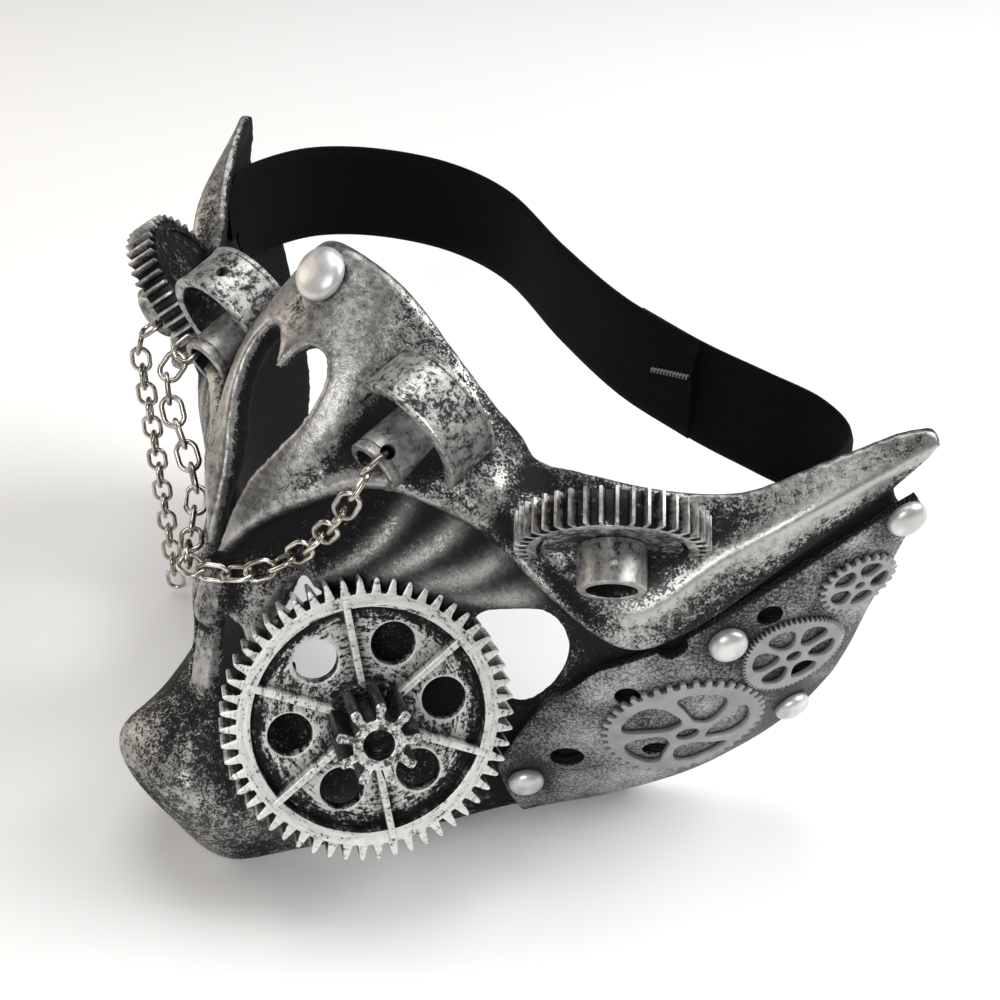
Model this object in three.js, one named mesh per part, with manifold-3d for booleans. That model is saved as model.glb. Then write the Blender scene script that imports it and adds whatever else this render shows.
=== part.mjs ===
// Steampunk half mask, in millimetres: +Z up, the face looks to -Y, +X is the wearer's left.
// The work frame has its origin at the tip of the nose slit. The group is moved at the end.
import * as THREE from 'three';
import { mergeVertices } from 'three/addons/utils/BufferGeometryUtils.js';
import Module from 'manifold-3d';

const wasm = await Module();
wasm.setup();

const V = (x, y, z) => new THREE.Vector3(x, y, z);
const GAP = 0.3;
const TABLE = -62;

// Sides of round parts: tubes and bosses, wide recesses, bores and posts, punched holes
const TUBE_SIDES = 10;
const DISH_SIDES = 20;
const BORE_SIDES = 8;
const PUNCH_SIDES = 6;

// Guide tables of the shell, left half

// Nose plate and cheek arm: a row for each section, from its lower edge over its middle to its upper edge
// crease is 1 where the middle is a sharp ridge and 0 where it is round
const MANTLE = [
  { low: [0, 0, 0], mid: [0, 15.5, 26.5], top: [0, 34, 46.5], crease: 0 },
  { low: [6, 4.2, 6.8], mid: [11.3, 19.3, 26.5], top: [7, 36.2, 43.2], crease: 0 },
  { low: [12, 9.8, 11.6], mid: [15.5, 27.3, 25.5], top: [12, 38.5, 38], crease: 0 },
  { low: [21, 17.2, 16.2], mid: [21, 29, 23.5], top: [18, 40, 31], crease: 0 },
  { low: [30, 22.3, 15], mid: [30.5, 27.5, 20], top: [26, 41.5, 22.5], crease: 0 },
  { low: [40.2, 26.4, 11], mid: [40, 33, 16.5], top: [35, 42.5, 17], crease: 0 },
  { low: [50.5, 28.8, 3.5], mid: [51, 33.5, 11], top: [46, 42, 19.5], crease: 0.3 },
  { low: [62.5, 34.6, -5.2], mid: [62.8, 36.2, 2.6], top: [58.5, 46.7, 19.8], crease: 0.8 },
  { low: [69.5, 44.8, -3.8], mid: [71.3, 48.7, 12.3], top: [68, 55, 20], crease: 0.9 },
  { low: [79.1, 60.4, 9.3], mid: [79, 58.5, 19.8], top: [77, 64.5, 26], crease: 0.9 },
  { low: [87.5, 78, 20.8], mid: [89, 78.5, 28.3], top: [87.6, 77.5, 32], crease: 0.9 },
];

// Lower face: a row for each section, from under the mantle down to the bottom rim
const LOWER = [
  { under: [0, 3.5, 2.5], lip: [0, -3, -10], mouth: [0, -8.5, -27], chin: [0, -22.3, -37.3], rim: [0, -14.3, -63] },
  { under: [6.5, 8.3, 9], lip: [8, -0.5, -9.5], mouth: [8, -4.5, -27], chin: [11, -19.4, -37.3], rim: [9.8, -12.2, -63] },
  { under: [13.5, 14.5, 14], lip: [15.5, 8.5, -6], mouth: [15, 5, -27], chin: [18.5, -5.5, -45], rim: [17, -1.5, -63] },
  { under: [21, 21.3, 17], lip: [23.5, 16, -4], mouth: [21.5, 12.5, -27], chin: [25.5, 8.5, -48], rim: [24.5, 10, -63] },
  { under: [29.5, 26, 15], lip: [32, 23, -5], mouth: [30, 22, -29], chin: [32.5, 20, -49], rim: [31.5, 21.5, -63] },
  { under: [39, 30.5, 10.5], lip: [42, 28.5, -9], mouth: [41, 30, -31], chin: [40, 32, -49], rim: [38.8, 35.4, -63] },
  { under: [49.5, 33, 2.5], lip: [52.5, 36, -16.5], mouth: [53, 40, -33], chin: [52, 45.5, -49], rim: [49, 51.5, -63] },
  { under: [60.5, 38.5, -2.5], lip: [63, 44.5, -10], mouth: [64.5, 48, -24.5], chin: [64, 54, -39], rim: [60.5, 61.5, -53.5] },
  { under: [69.5, 51, 1], lip: [72, 56, 0.5], mouth: [74.5, 61.5, -10.5], chin: [75.3, 69, -22.5], rim: [74, 77, -34] },
  { under: [77.5, 62.5, 11], lip: [79.5, 65, 9.5], mouth: [80.8, 69.5, 2.5], chin: [81.2, 74.8, -5], rim: [80.3, 80, -12.5] },
  { under: [84, 74.5, 21], lip: [85.3, 74.5, 17.5], mouth: [85.8, 76.3, 15], chin: [85.7, 78.4, 12.5], rim: [85, 80.5, 10] },
];

const LAST_ARM = MANTLE.length - 1;
const LAST_LOWER = LOWER.length - 1;
const PLATE_END = 4.9;
const PLATE_LIFT = 2.2;
const WALL = 2.6;
const PLATE_WALL = 1.2;
const ARM_START = 4;

// Steps of the shell's grids, along the face and across it, and how deep a seat reaches behind its surface
const PLATE_GRID = [7, 3];
const ARM_GRID = [10, 4];
const LOWER_GRID = [11, 6];
const SEAT_DEPTH = -9;

// Curves and surfaces

// Point of a curve, carried straight on past its ends
function reach(curve, t) {
  const inside = Math.min(1, Math.max(0, t));
  const point = curve.getPoint(inside);
  if (inside === t) {
    return point;
  }
  const step = 0.001;
  const near = curve.getPoint(inside === 0 ? step : 1 - step);
  return point.addScaledVector(point.clone().sub(near), Math.abs(t - inside) / step);
}

// Curve through one column of a table, mirrored to the right half; s = 0 is the middle
function guide(rows, column) {
  const left = rows.map((row) => V(...row[column]));
  const right = left.slice(1).reverse().map((p) => V(-p.x, p.y, p.z));
  const curve = new THREE.CatmullRomCurve3([...right, ...left], false, 'catmullrom', 0.5);
  const last = rows.length - 1;
  return (s) => reach(curve, (s + last) / (2 * last));
}

function between(rows, column, s) {
  const at = Math.min(Math.abs(s), rows.length - 1.001);
  const row = Math.floor(at);
  return THREE.MathUtils.lerp(rows[row][column], rows[row + 1][column], at - row);
}

const MANTLE_COLUMNS = ['low', 'mid', 'top'];
const CREASE_SHARE = 0.8;
const mantleGuides = MANTLE_COLUMNS.map((column) => guide(MANTLE, column));

// Middle surface of the mantle: v = 0 at the lower edge, 1 at the upper edge
function mantle(s, v) {
  const [low, mid, top] = mantleGuides.map((at) => at(s));
  const smooth = reach(new THREE.CatmullRomCurve3([low, mid, top], false, 'catmullrom', 0.5), v);
  const sharp = v < 0.5 ? low.lerp(mid, 2 * v) : mid.lerp(top, 2 * v - 1);
  return smooth.lerp(sharp, CREASE_SHARE * between(MANTLE, 'crease', s));
}

const LOWER_COLUMNS = ['under', 'lip', 'mouth', 'chin', 'rim'];
const lowerGuides = LOWER_COLUMNS.map((column) => guide(LOWER, column));

// Outer surface of the lower face: w runs from 0 under the mantle to 4 at the rim
function lower(s, w) {
  const curve = new THREE.CatmullRomCurve3(lowerGuides.map((at) => at(s)), false, 'catmullrom', 0.5);
  return reach(curve, w / 4);
}

// Outward normal of a surface by small differences
function normalOf(surface, s, v, span) {
  const ds = 0.01;
  const dv = 0.01 * span;
  const v0 = Math.max(0, v - dv);
  const v1 = Math.min(span, v + dv);
  const along = surface(s + ds, v).sub(surface(s - ds, v));
  const across = surface(s, v1).sub(surface(s, v0));
  return along.cross(across).normalize();
}
const mantleNormal = (s, v) => normalOf(mantle, s, v, 1);
const lowerNormal = (s, w) => normalOf(lower, s, w, 4).negate();

const onMantle = (s, v, lift) => mantle(s, v).addScaledVector(mantleNormal(s, v), lift);
const onLower = (s, w, lift) => lower(s, w).addScaledVector(lowerNormal(s, w), lift);

// Joining and cutting

function solid(geometry) {
  const bare = geometry.clone();
  bare.deleteAttribute('normal');
  bare.deleteAttribute('uv');
  const merged = mergeVertices(bare, 1e-4);
  return new wasm.Manifold(new wasm.Mesh({
    numProp: 3,
    vertProperties: new Float32Array(merged.attributes.position.array),
    triVerts: new Uint32Array(merged.index.array),
  }));
}

function geometryOf(body) {
  const mesh = body.getMesh();
  const geometry = new THREE.BufferGeometry();
  const points = new Float32Array(mesh.numVert * 3);
  for (let i = 0; i < mesh.numVert; i += 1) {
    for (let k = 0; k < 3; k += 1) {
      points[3 * i + k] = mesh.vertProperties[i * mesh.numProp + k];
    }
  }
  geometry.setAttribute('position', new THREE.BufferAttribute(points, 3));
  geometry.setIndex(new THREE.BufferAttribute(new Uint32Array(mesh.triVerts), 1));
  return geometry;
}

const joinAll = (bodies) => bodies.reduce((sum, body) => sum.add(body));

// Closed block between two grids of points, outer(i, j) and inner(i, j); a point on the middle plane stays on it
const ON_MIDDLE = 1e-6;
function block(columns, rows, outer, inner) {
  const points = [];
  const faces = [];
  const index = (side, i, j) => side * (columns + 1) * (rows + 1) + i * (rows + 1) + j;
  for (const side of [outer, inner]) {
    for (let i = 0; i <= columns; i += 1) {
      for (let j = 0; j <= rows; j += 1) {
        const point = side(i / columns, j / rows);
        points.push(Math.abs(point.x) < ON_MIDDLE ? 0 : point.x, point.y, point.z);
      }
    }
  }
  const quad = (a, b, c, d) => faces.push(a, b, c, a, c, d);
  for (let i = 0; i < columns; i += 1) {
    for (let j = 0; j < rows; j += 1) {
      quad(index(0, i, j), index(0, i + 1, j), index(0, i + 1, j + 1), index(0, i, j + 1));
      quad(index(1, i, j), index(1, i, j + 1), index(1, i + 1, j + 1), index(1, i + 1, j));
    }
    quad(index(1, i, 0), index(1, i + 1, 0), index(0, i + 1, 0), index(0, i, 0));
    quad(index(0, i, rows), index(0, i + 1, rows), index(1, i + 1, rows), index(1, i, rows));
  }
  for (let j = 0; j < rows; j += 1) {
    quad(index(0, 0, j), index(0, 0, j + 1), index(1, 0, j + 1), index(1, 0, j));
    quad(index(1, columns, j), index(1, columns, j + 1), index(0, columns, j + 1), index(0, columns, j));
  }
  const geometry = new THREE.BufferGeometry();
  geometry.setAttribute('position', new THREE.Float32BufferAttribute(points, 3));
  geometry.setIndex(faces);
  const body = solid(geometry);
  if (body.volume() > 0) {
    return body;
  }
  const turned = [];
  for (let i = 0; i < faces.length; i += 3) {
    turned.push(faces[i], faces[i + 2], faces[i + 1]);
  }
  geometry.setIndex(turned);
  return solid(geometry);
}

// Block on the mantle from lift `inside` to lift `outside`
function mantleBlock(from, to, [columns, rows], inside, outside) {
  const at = (lift) => (i, j) => onMantle(THREE.MathUtils.lerp(from, to, i), j, lift);
  return block(columns, rows, at(outside), at(inside));
}

function lowerBlock(from, to, [columns, rows], inside, outside) {
  const at = (lift) => (i, j) => onLower(THREE.MathUtils.lerp(from, to, i), 4 * j, lift);
  return block(columns, rows, at(outside), at(inside));
}

// Shape from a list of points
const outline = (points) => new THREE.Shape(points.map(([x, y]) => new THREE.Vector2(x, y)));

// Frame whose third axis is `out`; the second leans towards `up`
function frameAt(origin, out, up) {
  const z = out.clone().normalize();
  const x = up.clone().cross(z).normalize();
  const y = z.clone().cross(x);
  return new THREE.Matrix4().makeBasis(x, y, z).setPosition(origin);
}

// Prism of a shape along the frame's third axis, from `from` to `to`
function prism(shape, from, to, frame) {
  const geometry = new THREE.ExtrudeGeometry(shape, { depth: to - from, bevelEnabled: false, curveSegments: 10 });
  geometry.translate(0, 0, from);
  geometry.applyMatrix4(frame);
  return solid(geometry);
}

function round(radius, sides, turn = 0) {
  const ring = [];
  for (let k = 0; k < sides; k += 1) {
    const angle = turn + (2 * Math.PI * k) / sides;
    ring.push([radius * Math.cos(angle), radius * Math.sin(angle)]);
  }
  return ring;
}

const OWN = new THREE.Matrix4();
const rod = (radius, from, to, sides, frame = OWN) => prism(outline(round(radius, sides)), from, to, frame);

// Rod of even radius along a list of points
function bent(points, radius, sides) {
  const curve = new THREE.CatmullRomCurve3(points, false, 'catmullrom', 0.5);
  const steps = 3;
  const at = (lap) => (i, j) => {
    const t = 0.001 + 0.998 * i;
    const tangent = curve.getTangent(t);
    const side = V(0, 0, 1).cross(tangent).normalize();
    const up = tangent.clone().cross(side);
    const angle = Math.PI * (lap ? 2 - j : j);
    return curve.getPoint(t)
      .addScaledVector(side, radius * Math.cos(angle))
      .addScaledVector(up, radius * Math.sin(angle));
  };
  return block(steps, sides, at(0), at(1));
}

// Toothed wheel outline; `tip` and `root` are shares of the pitch
function toothed(teeth, rootRadius, tipRadius, tip, root, turn = 0) {
  const ring = [];
  const pitch = (2 * Math.PI) / teeth;
  for (let k = 0; k < teeth; k += 1) {
    const middle = turn + k * pitch;
    const corners = [
      [rootRadius, -root / 2],
      [tipRadius, -tip / 2],
      [tipRadius, tip / 2],
      [rootRadius, root / 2],
    ];
    const used = tip > 0 ? corners : [corners[0], [tipRadius, 0], corners[3]];
    const closed = root >= 1 ? used.slice(0, -1) : used;
    for (const [radius, share] of closed) {
      const angle = middle + share * pitch;
      ring.push([radius * Math.cos(angle), radius * Math.sin(angle)]);
    }
  }
  return ring;
}

// Body moved from its own frame to its place
function moved(body, frame) {
  return solid(geometryOf(body).applyMatrix4(frame));
}

// Mirror of a body to the right half
function mirrored(body) {
  const geometry = geometryOf(body);
  geometry.scale(-1, 1, 1);
  const index = geometry.index.array;
  for (let i = 0; i < index.length; i += 3) {
    const keep = index[i + 1];
    index[i + 1] = index[i + 2];
    index[i + 2] = keep;
  }
  return solid(geometry);
}

// Shell, made as a left half and its mirror

const both = (half) => half.add(mirrored(half));
const nosePlate = both(mantleBlock(0, PLATE_END, PLATE_GRID, -PLATE_WALL, PLATE_LIFT));
const arms = both(mantleBlock(ARM_START, LAST_ARM, ARM_GRID, -WALL, 0));
const lowerFace = both(lowerBlock(0, LAST_LOWER, LOWER_GRID, -WALL, 0));

// Heart-shaped opening, as half widths across the nose ridge at heights along it
const HEART = [
  [0, 35.5], [2.2, 39.6], [5.2, 40.6], [7.9, 39.2], [8.8, 36], [8.2, 31.5],
  [6.4, 26], [3.6, 20], [2, 16], [1.4, 11], [1, 6], [0.7, -4],
];
const heartHalf = HEART.slice(1).reverse().map(([x, h]) => [-x, h]);
const ridgeFrame = frameAt(V(0, 0, 0), V(0, -0.84, 0.543), V(0, 0.543, 0.84));
const heart = prism(outline([...HEART, ...heartHalf]), -9, 12, ridgeFrame);

// Mouth openings as seen from the front (x, z), and the side opening in its own plane
const MOUTH_INNER = [[2.8, -12], [5.8, -11], [7.4, -15], [7.2, -22], [6, -26], [2.7, -26]];
const MOUTH_OUTER = [[10.6, -9], [12.5, -2], [15, -4], [17.5, -8], [18.5, -16], [17, -25], [13, -27], [11.4, -20]];
const SIDE_OPENING = [
  [-7.2, 10.1], [-1.7, 11.8], [2.6, 11.7], [5.7, 8.5], [6.8, 2.7], [4.6, -5.5],
  [0.1, -12.2], [-3.5, -13.1], [-8.5, -9], [-11, -1], [-10, 6.5],
];
const frontFrame = frameAt(V(0, 0, 0), V(0, -1, 0), V(0, 0, 1));
const sideFrame = frameAt(V(45, 31, -16), V(0.55, -0.83, 0), V(0, 0, 1));
const openings = both(joinAll([
  prism(outline(MOUTH_INNER), -30, 30, frontFrame),
  prism(outline(MOUTH_OUTER), -30, 30, frontFrame),
  prism(outline(SIDE_OPENING), -12, 14, sideFrame),
]));

// Ribs under the nose plate, as start and end places on the lower face
const RIBS = [
  { from: [2.15, 0.78], to: [3.45, 0.26], radius: 2.2 },
  { from: [2.95, 0.82], to: [4.35, 0.2], radius: 2.3 },
  { from: [3.6, 0.84], to: [5.05, 0.28], radius: 2.3 },
  { from: [4.25, 0.82], to: [5.6, 0.3], radius: 2.0 },
];
const RIB_RISE = 0.9;
function rib({ from, to, radius }, swell = 0) {
  const points = [0, 0.5, 1].map((t) => {
    const s = THREE.MathUtils.lerp(from[0], to[0], t);
    const w = THREE.MathUtils.lerp(from[1], to[1], t);
    return onLower(s, w, RIB_RISE * (1 - Math.abs(2 * t - 1)));
  });
  return bent(points, radius + swell, 2);
}
const ribs = both(joinAll(RIBS.map((row) => rib(row))));

// Two lapped plates below the nose: half width, upper and lower end of each on the middle plane
const LIP_PLATES = [
  { half: 2.9, top: [-0.6, -1], end: [-6.1, -12.5], thick: 3.2 },
  { half: 2.5, top: [-3.4, -9], end: [-8.9, -28], thick: 3.2 },
];
function lipPlate({ half, top, end, thick }) {
  const origin = V(0, end[0], end[1]);
  const up = V(0, top[0] - end[0], top[1] - end[1]);
  const length = up.length();
  const out = V(1, 0, 0).cross(up).normalize();
  const shape = [[-half, 2.4], [-half * 0.55, 0.4], [half * 0.55, 0.4], [half, 2.4], [half, length], [-half, length]];
  return prism(outline(shape), -thick, 0, frameAt(origin, out, up));
}
const lipPlates = joinAll(LIP_PLATES.map(lipPlate));

const ROOM = 400;
const belowTable = solid(new THREE.BoxGeometry(ROOM, ROOM, 40).translate(0, 0, TABLE - 20));
const shell = joinAll([nosePlate.subtract(heart), arms, lowerFace.subtract(openings), ribs, lipPlates])
  .subtract(belowTable);

// Seats: the shell's outer surfaces raised by the gap, and deep, to trim what stands on them
const plateSeat = mantleBlock(0, PLATE_END, PLATE_GRID, SEAT_DEPTH, PLATE_LIFT + GAP);
const armSeat = mantleBlock(ARM_START, LAST_ARM, ARM_GRID, SEAT_DEPTH, GAP);
const lowerSeat = lowerBlock(0, LAST_LOWER, LOWER_GRID, SEAT_DEPTH, GAP);
const ribSeat = joinAll(RIBS.map((row) => rib(row, GAP)));

// Rivets

// Shares of a rivet's radius and height at its shoulder
const SHOULDER = { radius: 0.72, height: 0.75 };
const RIVET_SIDES = 10;
function dome(radius, height, origin, out) {
  const profile = [
    [0, 0], [radius, 0], [radius * SHOULDER.radius, height * SHOULDER.height], [0, height],
  ];
  const geometry = new THREE.LatheGeometry(profile.map(([r, h]) => new THREE.Vector2(r, h)), RIVET_SIDES);
  geometry.rotateX(Math.PI / 2);
  geometry.applyMatrix4(frameAt(origin, out, V(0, 0.01, 1)));
  return solid(geometry);
}
const NOSE_RIVET = { v: 0.88, radius: 4.7, height: 2.6, lift: PLATE_LIFT + GAP + 0.2 };
const noseRivet = dome(
  NOSE_RIVET.radius, NOSE_RIVET.height, onMantle(0, NOSE_RIVET.v, NOSE_RIVET.lift), mantleNormal(0, NOSE_RIVET.v));

// Arch and tube on the nose plate

const RING = { outer: 11, inner: 9.2, leg: 8, length: 10 };
const ringFront = V(24.4, 22.6, 25.1);
const ringAxis = V(-0.03, -0.959, -0.283);
const ringOut = V(0.612, -0.242, 0.755);
const ringFrame = (slide, raise) => frameAt(
  ringFront.clone().addScaledVector(ringAxis, slide).addScaledVector(ringOut, raise), ringAxis, ringOut);
function archShape(outer, inner, leg) {
  const steps = 8;
  const points = [[outer, -leg]];
  for (let k = 0; k <= steps; k += 1) {
    const angle = (Math.PI * k) / steps;
    points.push([outer * Math.cos(angle), outer * Math.sin(angle)]);
  }
  points.push([-outer, -leg], [-inner, -leg]);
  for (let k = steps; k >= 0; k -= 1) {
    const angle = (Math.PI * k) / steps;
    points.push([inner * Math.cos(angle), inner * Math.sin(angle)]);
  }
  points.push([inner, -leg]);
  return outline(points);
}
const halfRing = prism(archShape(RING.outer, RING.inner, RING.leg), -RING.length, 0, ringFrame(0, 0))
  .subtract(plateSeat);

const TUBE = { radius: 4.9, wall: 1.3, length: 13, raise: -3.2, slide: 6.4, hole: 1.25, holeBack: 2.4 };
const tubeFrame = ringFrame(TUBE.slide, TUBE.raise);
const tubeHoleAt = V(0, TUBE.radius, -TUBE.holeBack).applyMatrix4(tubeFrame);
const tubeBody = rod(TUBE.radius, -TUBE.length, 0, TUBE_SIDES)
  .subtract(rod(TUBE.radius - TUBE.wall, -TUBE.length + 2, 2, TUBE_SIDES));
const ringTube = moved(tubeBody, tubeFrame)
  .subtract(rod(TUBE.hole, -3, 3, BORE_SIDES, frameAt(tubeHoleAt, ringOut, ringAxis)))
  .subtract(plateSeat);

// Cheek gear and its hub

const CHEEK = { teeth: 32, root: 14.1, tip: 15.8, thick: 5.9, dish: 12.2 };
const cheekCentre = V(57.9, 36.2, 12.6);
const cheekOut = V(0.56, -0.62, -0.55);
const cheekFrame = frameAt(cheekCentre, cheekOut, V(0, 0, 1));
const cheekWheel = prism(outline(toothed(CHEEK.teeth, CHEEK.root, CHEEK.tip, 0, 1)), -CHEEK.thick, 0, OWN)
  .subtract(rod(CHEEK.dish, -1, 1, DISH_SIDES));
const cheekGear = moved(cheekWheel, cheekFrame).subtract(armSeat).subtract(plateSeat);
const HUB = { radius: 5.6, bore: 4.1, length: 6.4 };
const HUB_HOLE = { radius: 1.25, back: 2.4 };
const hubBody = rod(HUB.radius, -1 + GAP, HUB.length, TUBE_SIDES)
  .subtract(rod(HUB.bore, 1.6, HUB.length + 1, TUBE_SIDES));
const cheekHub = moved(hubBody, cheekFrame).subtract(armSeat).subtract(plateSeat);

// Big gear and its pinion

const BIG = {
  teeth: 54, root: 22.6, tip: 25.3, rim: 20.2, thick: 6.2, sink: 2.8, spoke: 0.85,
  hole: 3.9, holes: 13.6, boss: 7, post: 5, stand: 16, turn: 0.59,
};
const bigCentre = V(32.1, 5.1, -21.4);
const bigOut = V(0.764, -0.473, 0.438);
const bigFrame = frameAt(bigCentre, bigOut, V(0, 0, 1));
const bigWheel = prism(outline(toothed(BIG.teeth, BIG.root, BIG.tip, 0, 1)), -BIG.thick, 0, OWN);
const bigPocket = rod(BIG.rim, -BIG.sink, 1, DISH_SIDES);
const spokes = [];
const bigHoles = [];
for (let k = 0; k < 6; k += 1) {
  const angle = BIG.turn + (Math.PI * k) / 3;
  const spokeTurn = new THREE.Matrix4().makeRotationZ(angle);
  const reachOut = BIG.rim * 0.98;
  const bar = [[5, -BIG.spoke], [reachOut, -BIG.spoke], [reachOut, BIG.spoke], [5, BIG.spoke]];
  spokes.push(prism(outline(bar), -BIG.sink - 1, -0.3, spokeTurn));
  const middle = angle + Math.PI / 6;
  const offset = new THREE.Matrix4().makeTranslation(BIG.holes * Math.cos(middle), BIG.holes * Math.sin(middle), 0);
  bigHoles.push(rod(BIG.hole, -BIG.thick - 1, 2, BORE_SIDES, offset));
}
const bigBody = bigWheel.subtract(bigPocket).subtract(joinAll(bigHoles)).add(joinAll(spokes))
  .add(rod(BIG.boss, -BIG.sink - 1, 0, TUBE_SIDES))
  .add(rod(BIG.post, -BIG.stand, -BIG.thick + 1, BORE_SIDES));
const bigGear = moved(bigBody, bigFrame).subtract(lowerSeat).subtract(ribSeat);
const PINION = { teeth: 10, root: 4.8, tip: 7.2, bore: 2.7, length: 12 };
const pinionBody = prism(outline(toothed(PINION.teeth, PINION.root, PINION.tip, 0.3, 0.6)), GAP, PINION.length, OWN)
  .subtract(rod(PINION.bore, PINION.length - 4, PINION.length + 1, BORE_SIDES));
const pinion = moved(pinionBody, bigFrame);

// Leather side panel on the lower face

// Sections of the panel: the places of its upper edge and of its lower edge on the lower face
const PANEL = [
  { top: [4.82, 2.72], rim: [5.03, 3.77] },
  { top: [5.05, 2.3], rim: [5.4, 3.68] },
  { top: [5.53, 1.53], rim: [5.8, 3.6] },
  { top: [6.15, 0.97], rim: [6.25, 3.55] },
  { top: [6.56, 0.88], rim: [6.7, 3.6] },
  { top: [6.97, 0.89], rim: [7.2, 3.85] },
  { top: [7.38, 0.89], rim: [7.6, 4.0] },
  { top: [8.05, 0.95], rim: [8.05, 3.88] },
  { top: [8.92, 0.87], rim: [8.75, 3.55] },
  { top: [9.78, 0.99], rim: [9.5, 3.0] },
  { top: [10.2, 1.2], rim: [10.15, 2.4] },
];
const LEATHER = 2;
const PANEL_GAP = 0.6;
const panelEdge = (column) => new THREE.CatmullRomCurve3(
  PANEL.map((row) => V(...row[column], 0)), false, 'catmullrom', 0.5);
const panelTopEdge = panelEdge('top');
const panelRimEdge = panelEdge('rim');
function panelAt(lift) {
  return (i, j) => {
    const place = panelTopEdge.getPoint(i).lerp(panelRimEdge.getPoint(i), j);
    return onLower(place.x, place.y, lift);
  };
}
const sidePanelWhole = block(12, 3, panelAt(PANEL_GAP + LEATHER), panelAt(PANEL_GAP)).subtract(belowTable);

// Holes punched in the panel: place on the face and radius
const PANEL_HOLES = [
  { s: 5.64, w: 2.41, radius: 3.2 },
  { s: 6.52, w: 1.39, radius: 2.3 },
  { s: 8.04, w: 1.43, radius: 2.3 },
  { s: 6.67, w: 2.52, radius: 2.4 },
  { s: 8.02, w: 2.78, radius: 2.1 },
  { s: 7.13, w: 0.86, radius: 2.8 },
];
const punch = ({ s, w, radius }) => rod(radius, -1, 8, PUNCH_SIDES, frameAt(lower(s, w), lowerNormal(s, w), V(0, 0, 1)));
const sidePanel = sidePanelWhole.subtract(joinAll(PANEL_HOLES.map(punch)));

const PANEL_RIVETS = [
  { s: 5.15, w: 2.93 },
  { s: 7.58, w: 1.39 },
  { s: 7.79, w: 3.5 },
  { s: 9.95, w: 1.5 },
];
const PANEL_RIVET = { radius: 3.4, height: 2.2, gap: 0.4 };
const panelTop = PANEL_GAP + LEATHER + PANEL_RIVET.gap;
const panelRivets = PANEL_RIVETS.map(({ s, w }) => dome(
  PANEL_RIVET.radius, PANEL_RIVET.height, onLower(s, w, panelTop), lowerNormal(s, w)));

// Flat gears laid on the panel and bent to it
const PANEL_GEARS = [
  { name: 'large', s: 7.02, w: 2.4, radius: 14.2, teeth: 26, spokes: 5, rim: 10.6, hub: 3.8, lift: 0.5 },
  { name: 'medium', s: 8.03, w: 2.29, radius: 9.4, teeth: 24, spokes: 6, rim: 7.4, hub: 2.6, lift: 0.2 },
  { name: 'small', s: 9.05, w: 2.16, radius: 6.8, teeth: 16, spokes: 5, rim: 4.9, hub: 1.9, lift: 0.1 },
];
const FLAT_GEAR = 1.4;
// Shares of a flat gear's radius: its tooth roots and half the width of its spokes
const FLAT_ROOT = 0.9;
const FLAT_SPOKE = 0.055;

// Place on the lower face under a point of the tangent plane at (s, w)
function laidOn(s, w, a, b, lift) {
  const origin = lower(s, w);
  const out = lowerNormal(s, w);
  const frame = frameAt(origin, out, V(0, 0, 1));
  const x = new THREE.Vector3().setFromMatrixColumn(frame, 0);
  const y = new THREE.Vector3().setFromMatrixColumn(frame, 1);
  const step = 0.01;
  let at = [s, w];
  for (let round = 0; round < 4; round += 1) {
    const here = lower(at[0], at[1]);
    const miss = here.clone().sub(origin);
    const errorX = a - miss.dot(x);
    const errorY = b - miss.dot(y);
    const bySpan = lower(at[0] + step, at[1]).sub(here).divideScalar(step);
    const byDrop = lower(at[0], at[1] + step).sub(here).divideScalar(step);
    const det = bySpan.dot(x) * byDrop.dot(y) - byDrop.dot(x) * bySpan.dot(y);
    at = [
      at[0] + (errorX * byDrop.dot(y) - errorY * byDrop.dot(x)) / det,
      at[1] + (errorY * bySpan.dot(x) - errorX * bySpan.dot(y)) / det,
    ];
  }
  return onLower(at[0], at[1], lift);
}

function panelGear({ s, w, radius, teeth, spokes: arms, rim, hub, lift }) {
  const shape = outline(toothed(teeth, radius * FLAT_ROOT, radius, 0, 1));
  for (let k = 0; k < arms; k += 1) {
    const first = (2 * Math.PI * k) / arms;
    const slot = [];
    const half = Math.PI / arms;
    const width = FLAT_SPOKE * radius;
    const outerHalf = half - width / rim;
    const innerHalf = half - width / hub;
    for (const share of [-1, 1]) {
      const angle = first + share * outerHalf;
      slot.push(new THREE.Vector2(rim * Math.cos(angle), rim * Math.sin(angle)));
    }
    for (const share of [1, -1]) {
      const angle = first + share * innerHalf;
      slot.push(new THREE.Vector2(hub * Math.cos(angle), hub * Math.sin(angle)));
    }
    shape.holes.push(new THREE.Path(slot));
  }
  const geometry = new THREE.ExtrudeGeometry(shape, { depth: FLAT_GEAR, bevelEnabled: false });
  const position = geometry.attributes.position;
  for (let i = 0; i < position.count; i += 1) {
    const p = laidOn(s, w, position.getX(i), position.getY(i), panelTop + lift + position.getZ(i));
    position.setXYZ(i, p.x, p.y, p.z);
  }
  return solid(geometry);
}
const panelGears = PANEL_GEARS.map((row) => ({ name: row.name, body: panelGear(row) }));

// Chains

const LINK = { length: 7.7, width: 5, wire: 0.58, sides: 10, wireSides: 5, pitch: 5.6, turn: 0.8, hookOut: 0.55 };

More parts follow.
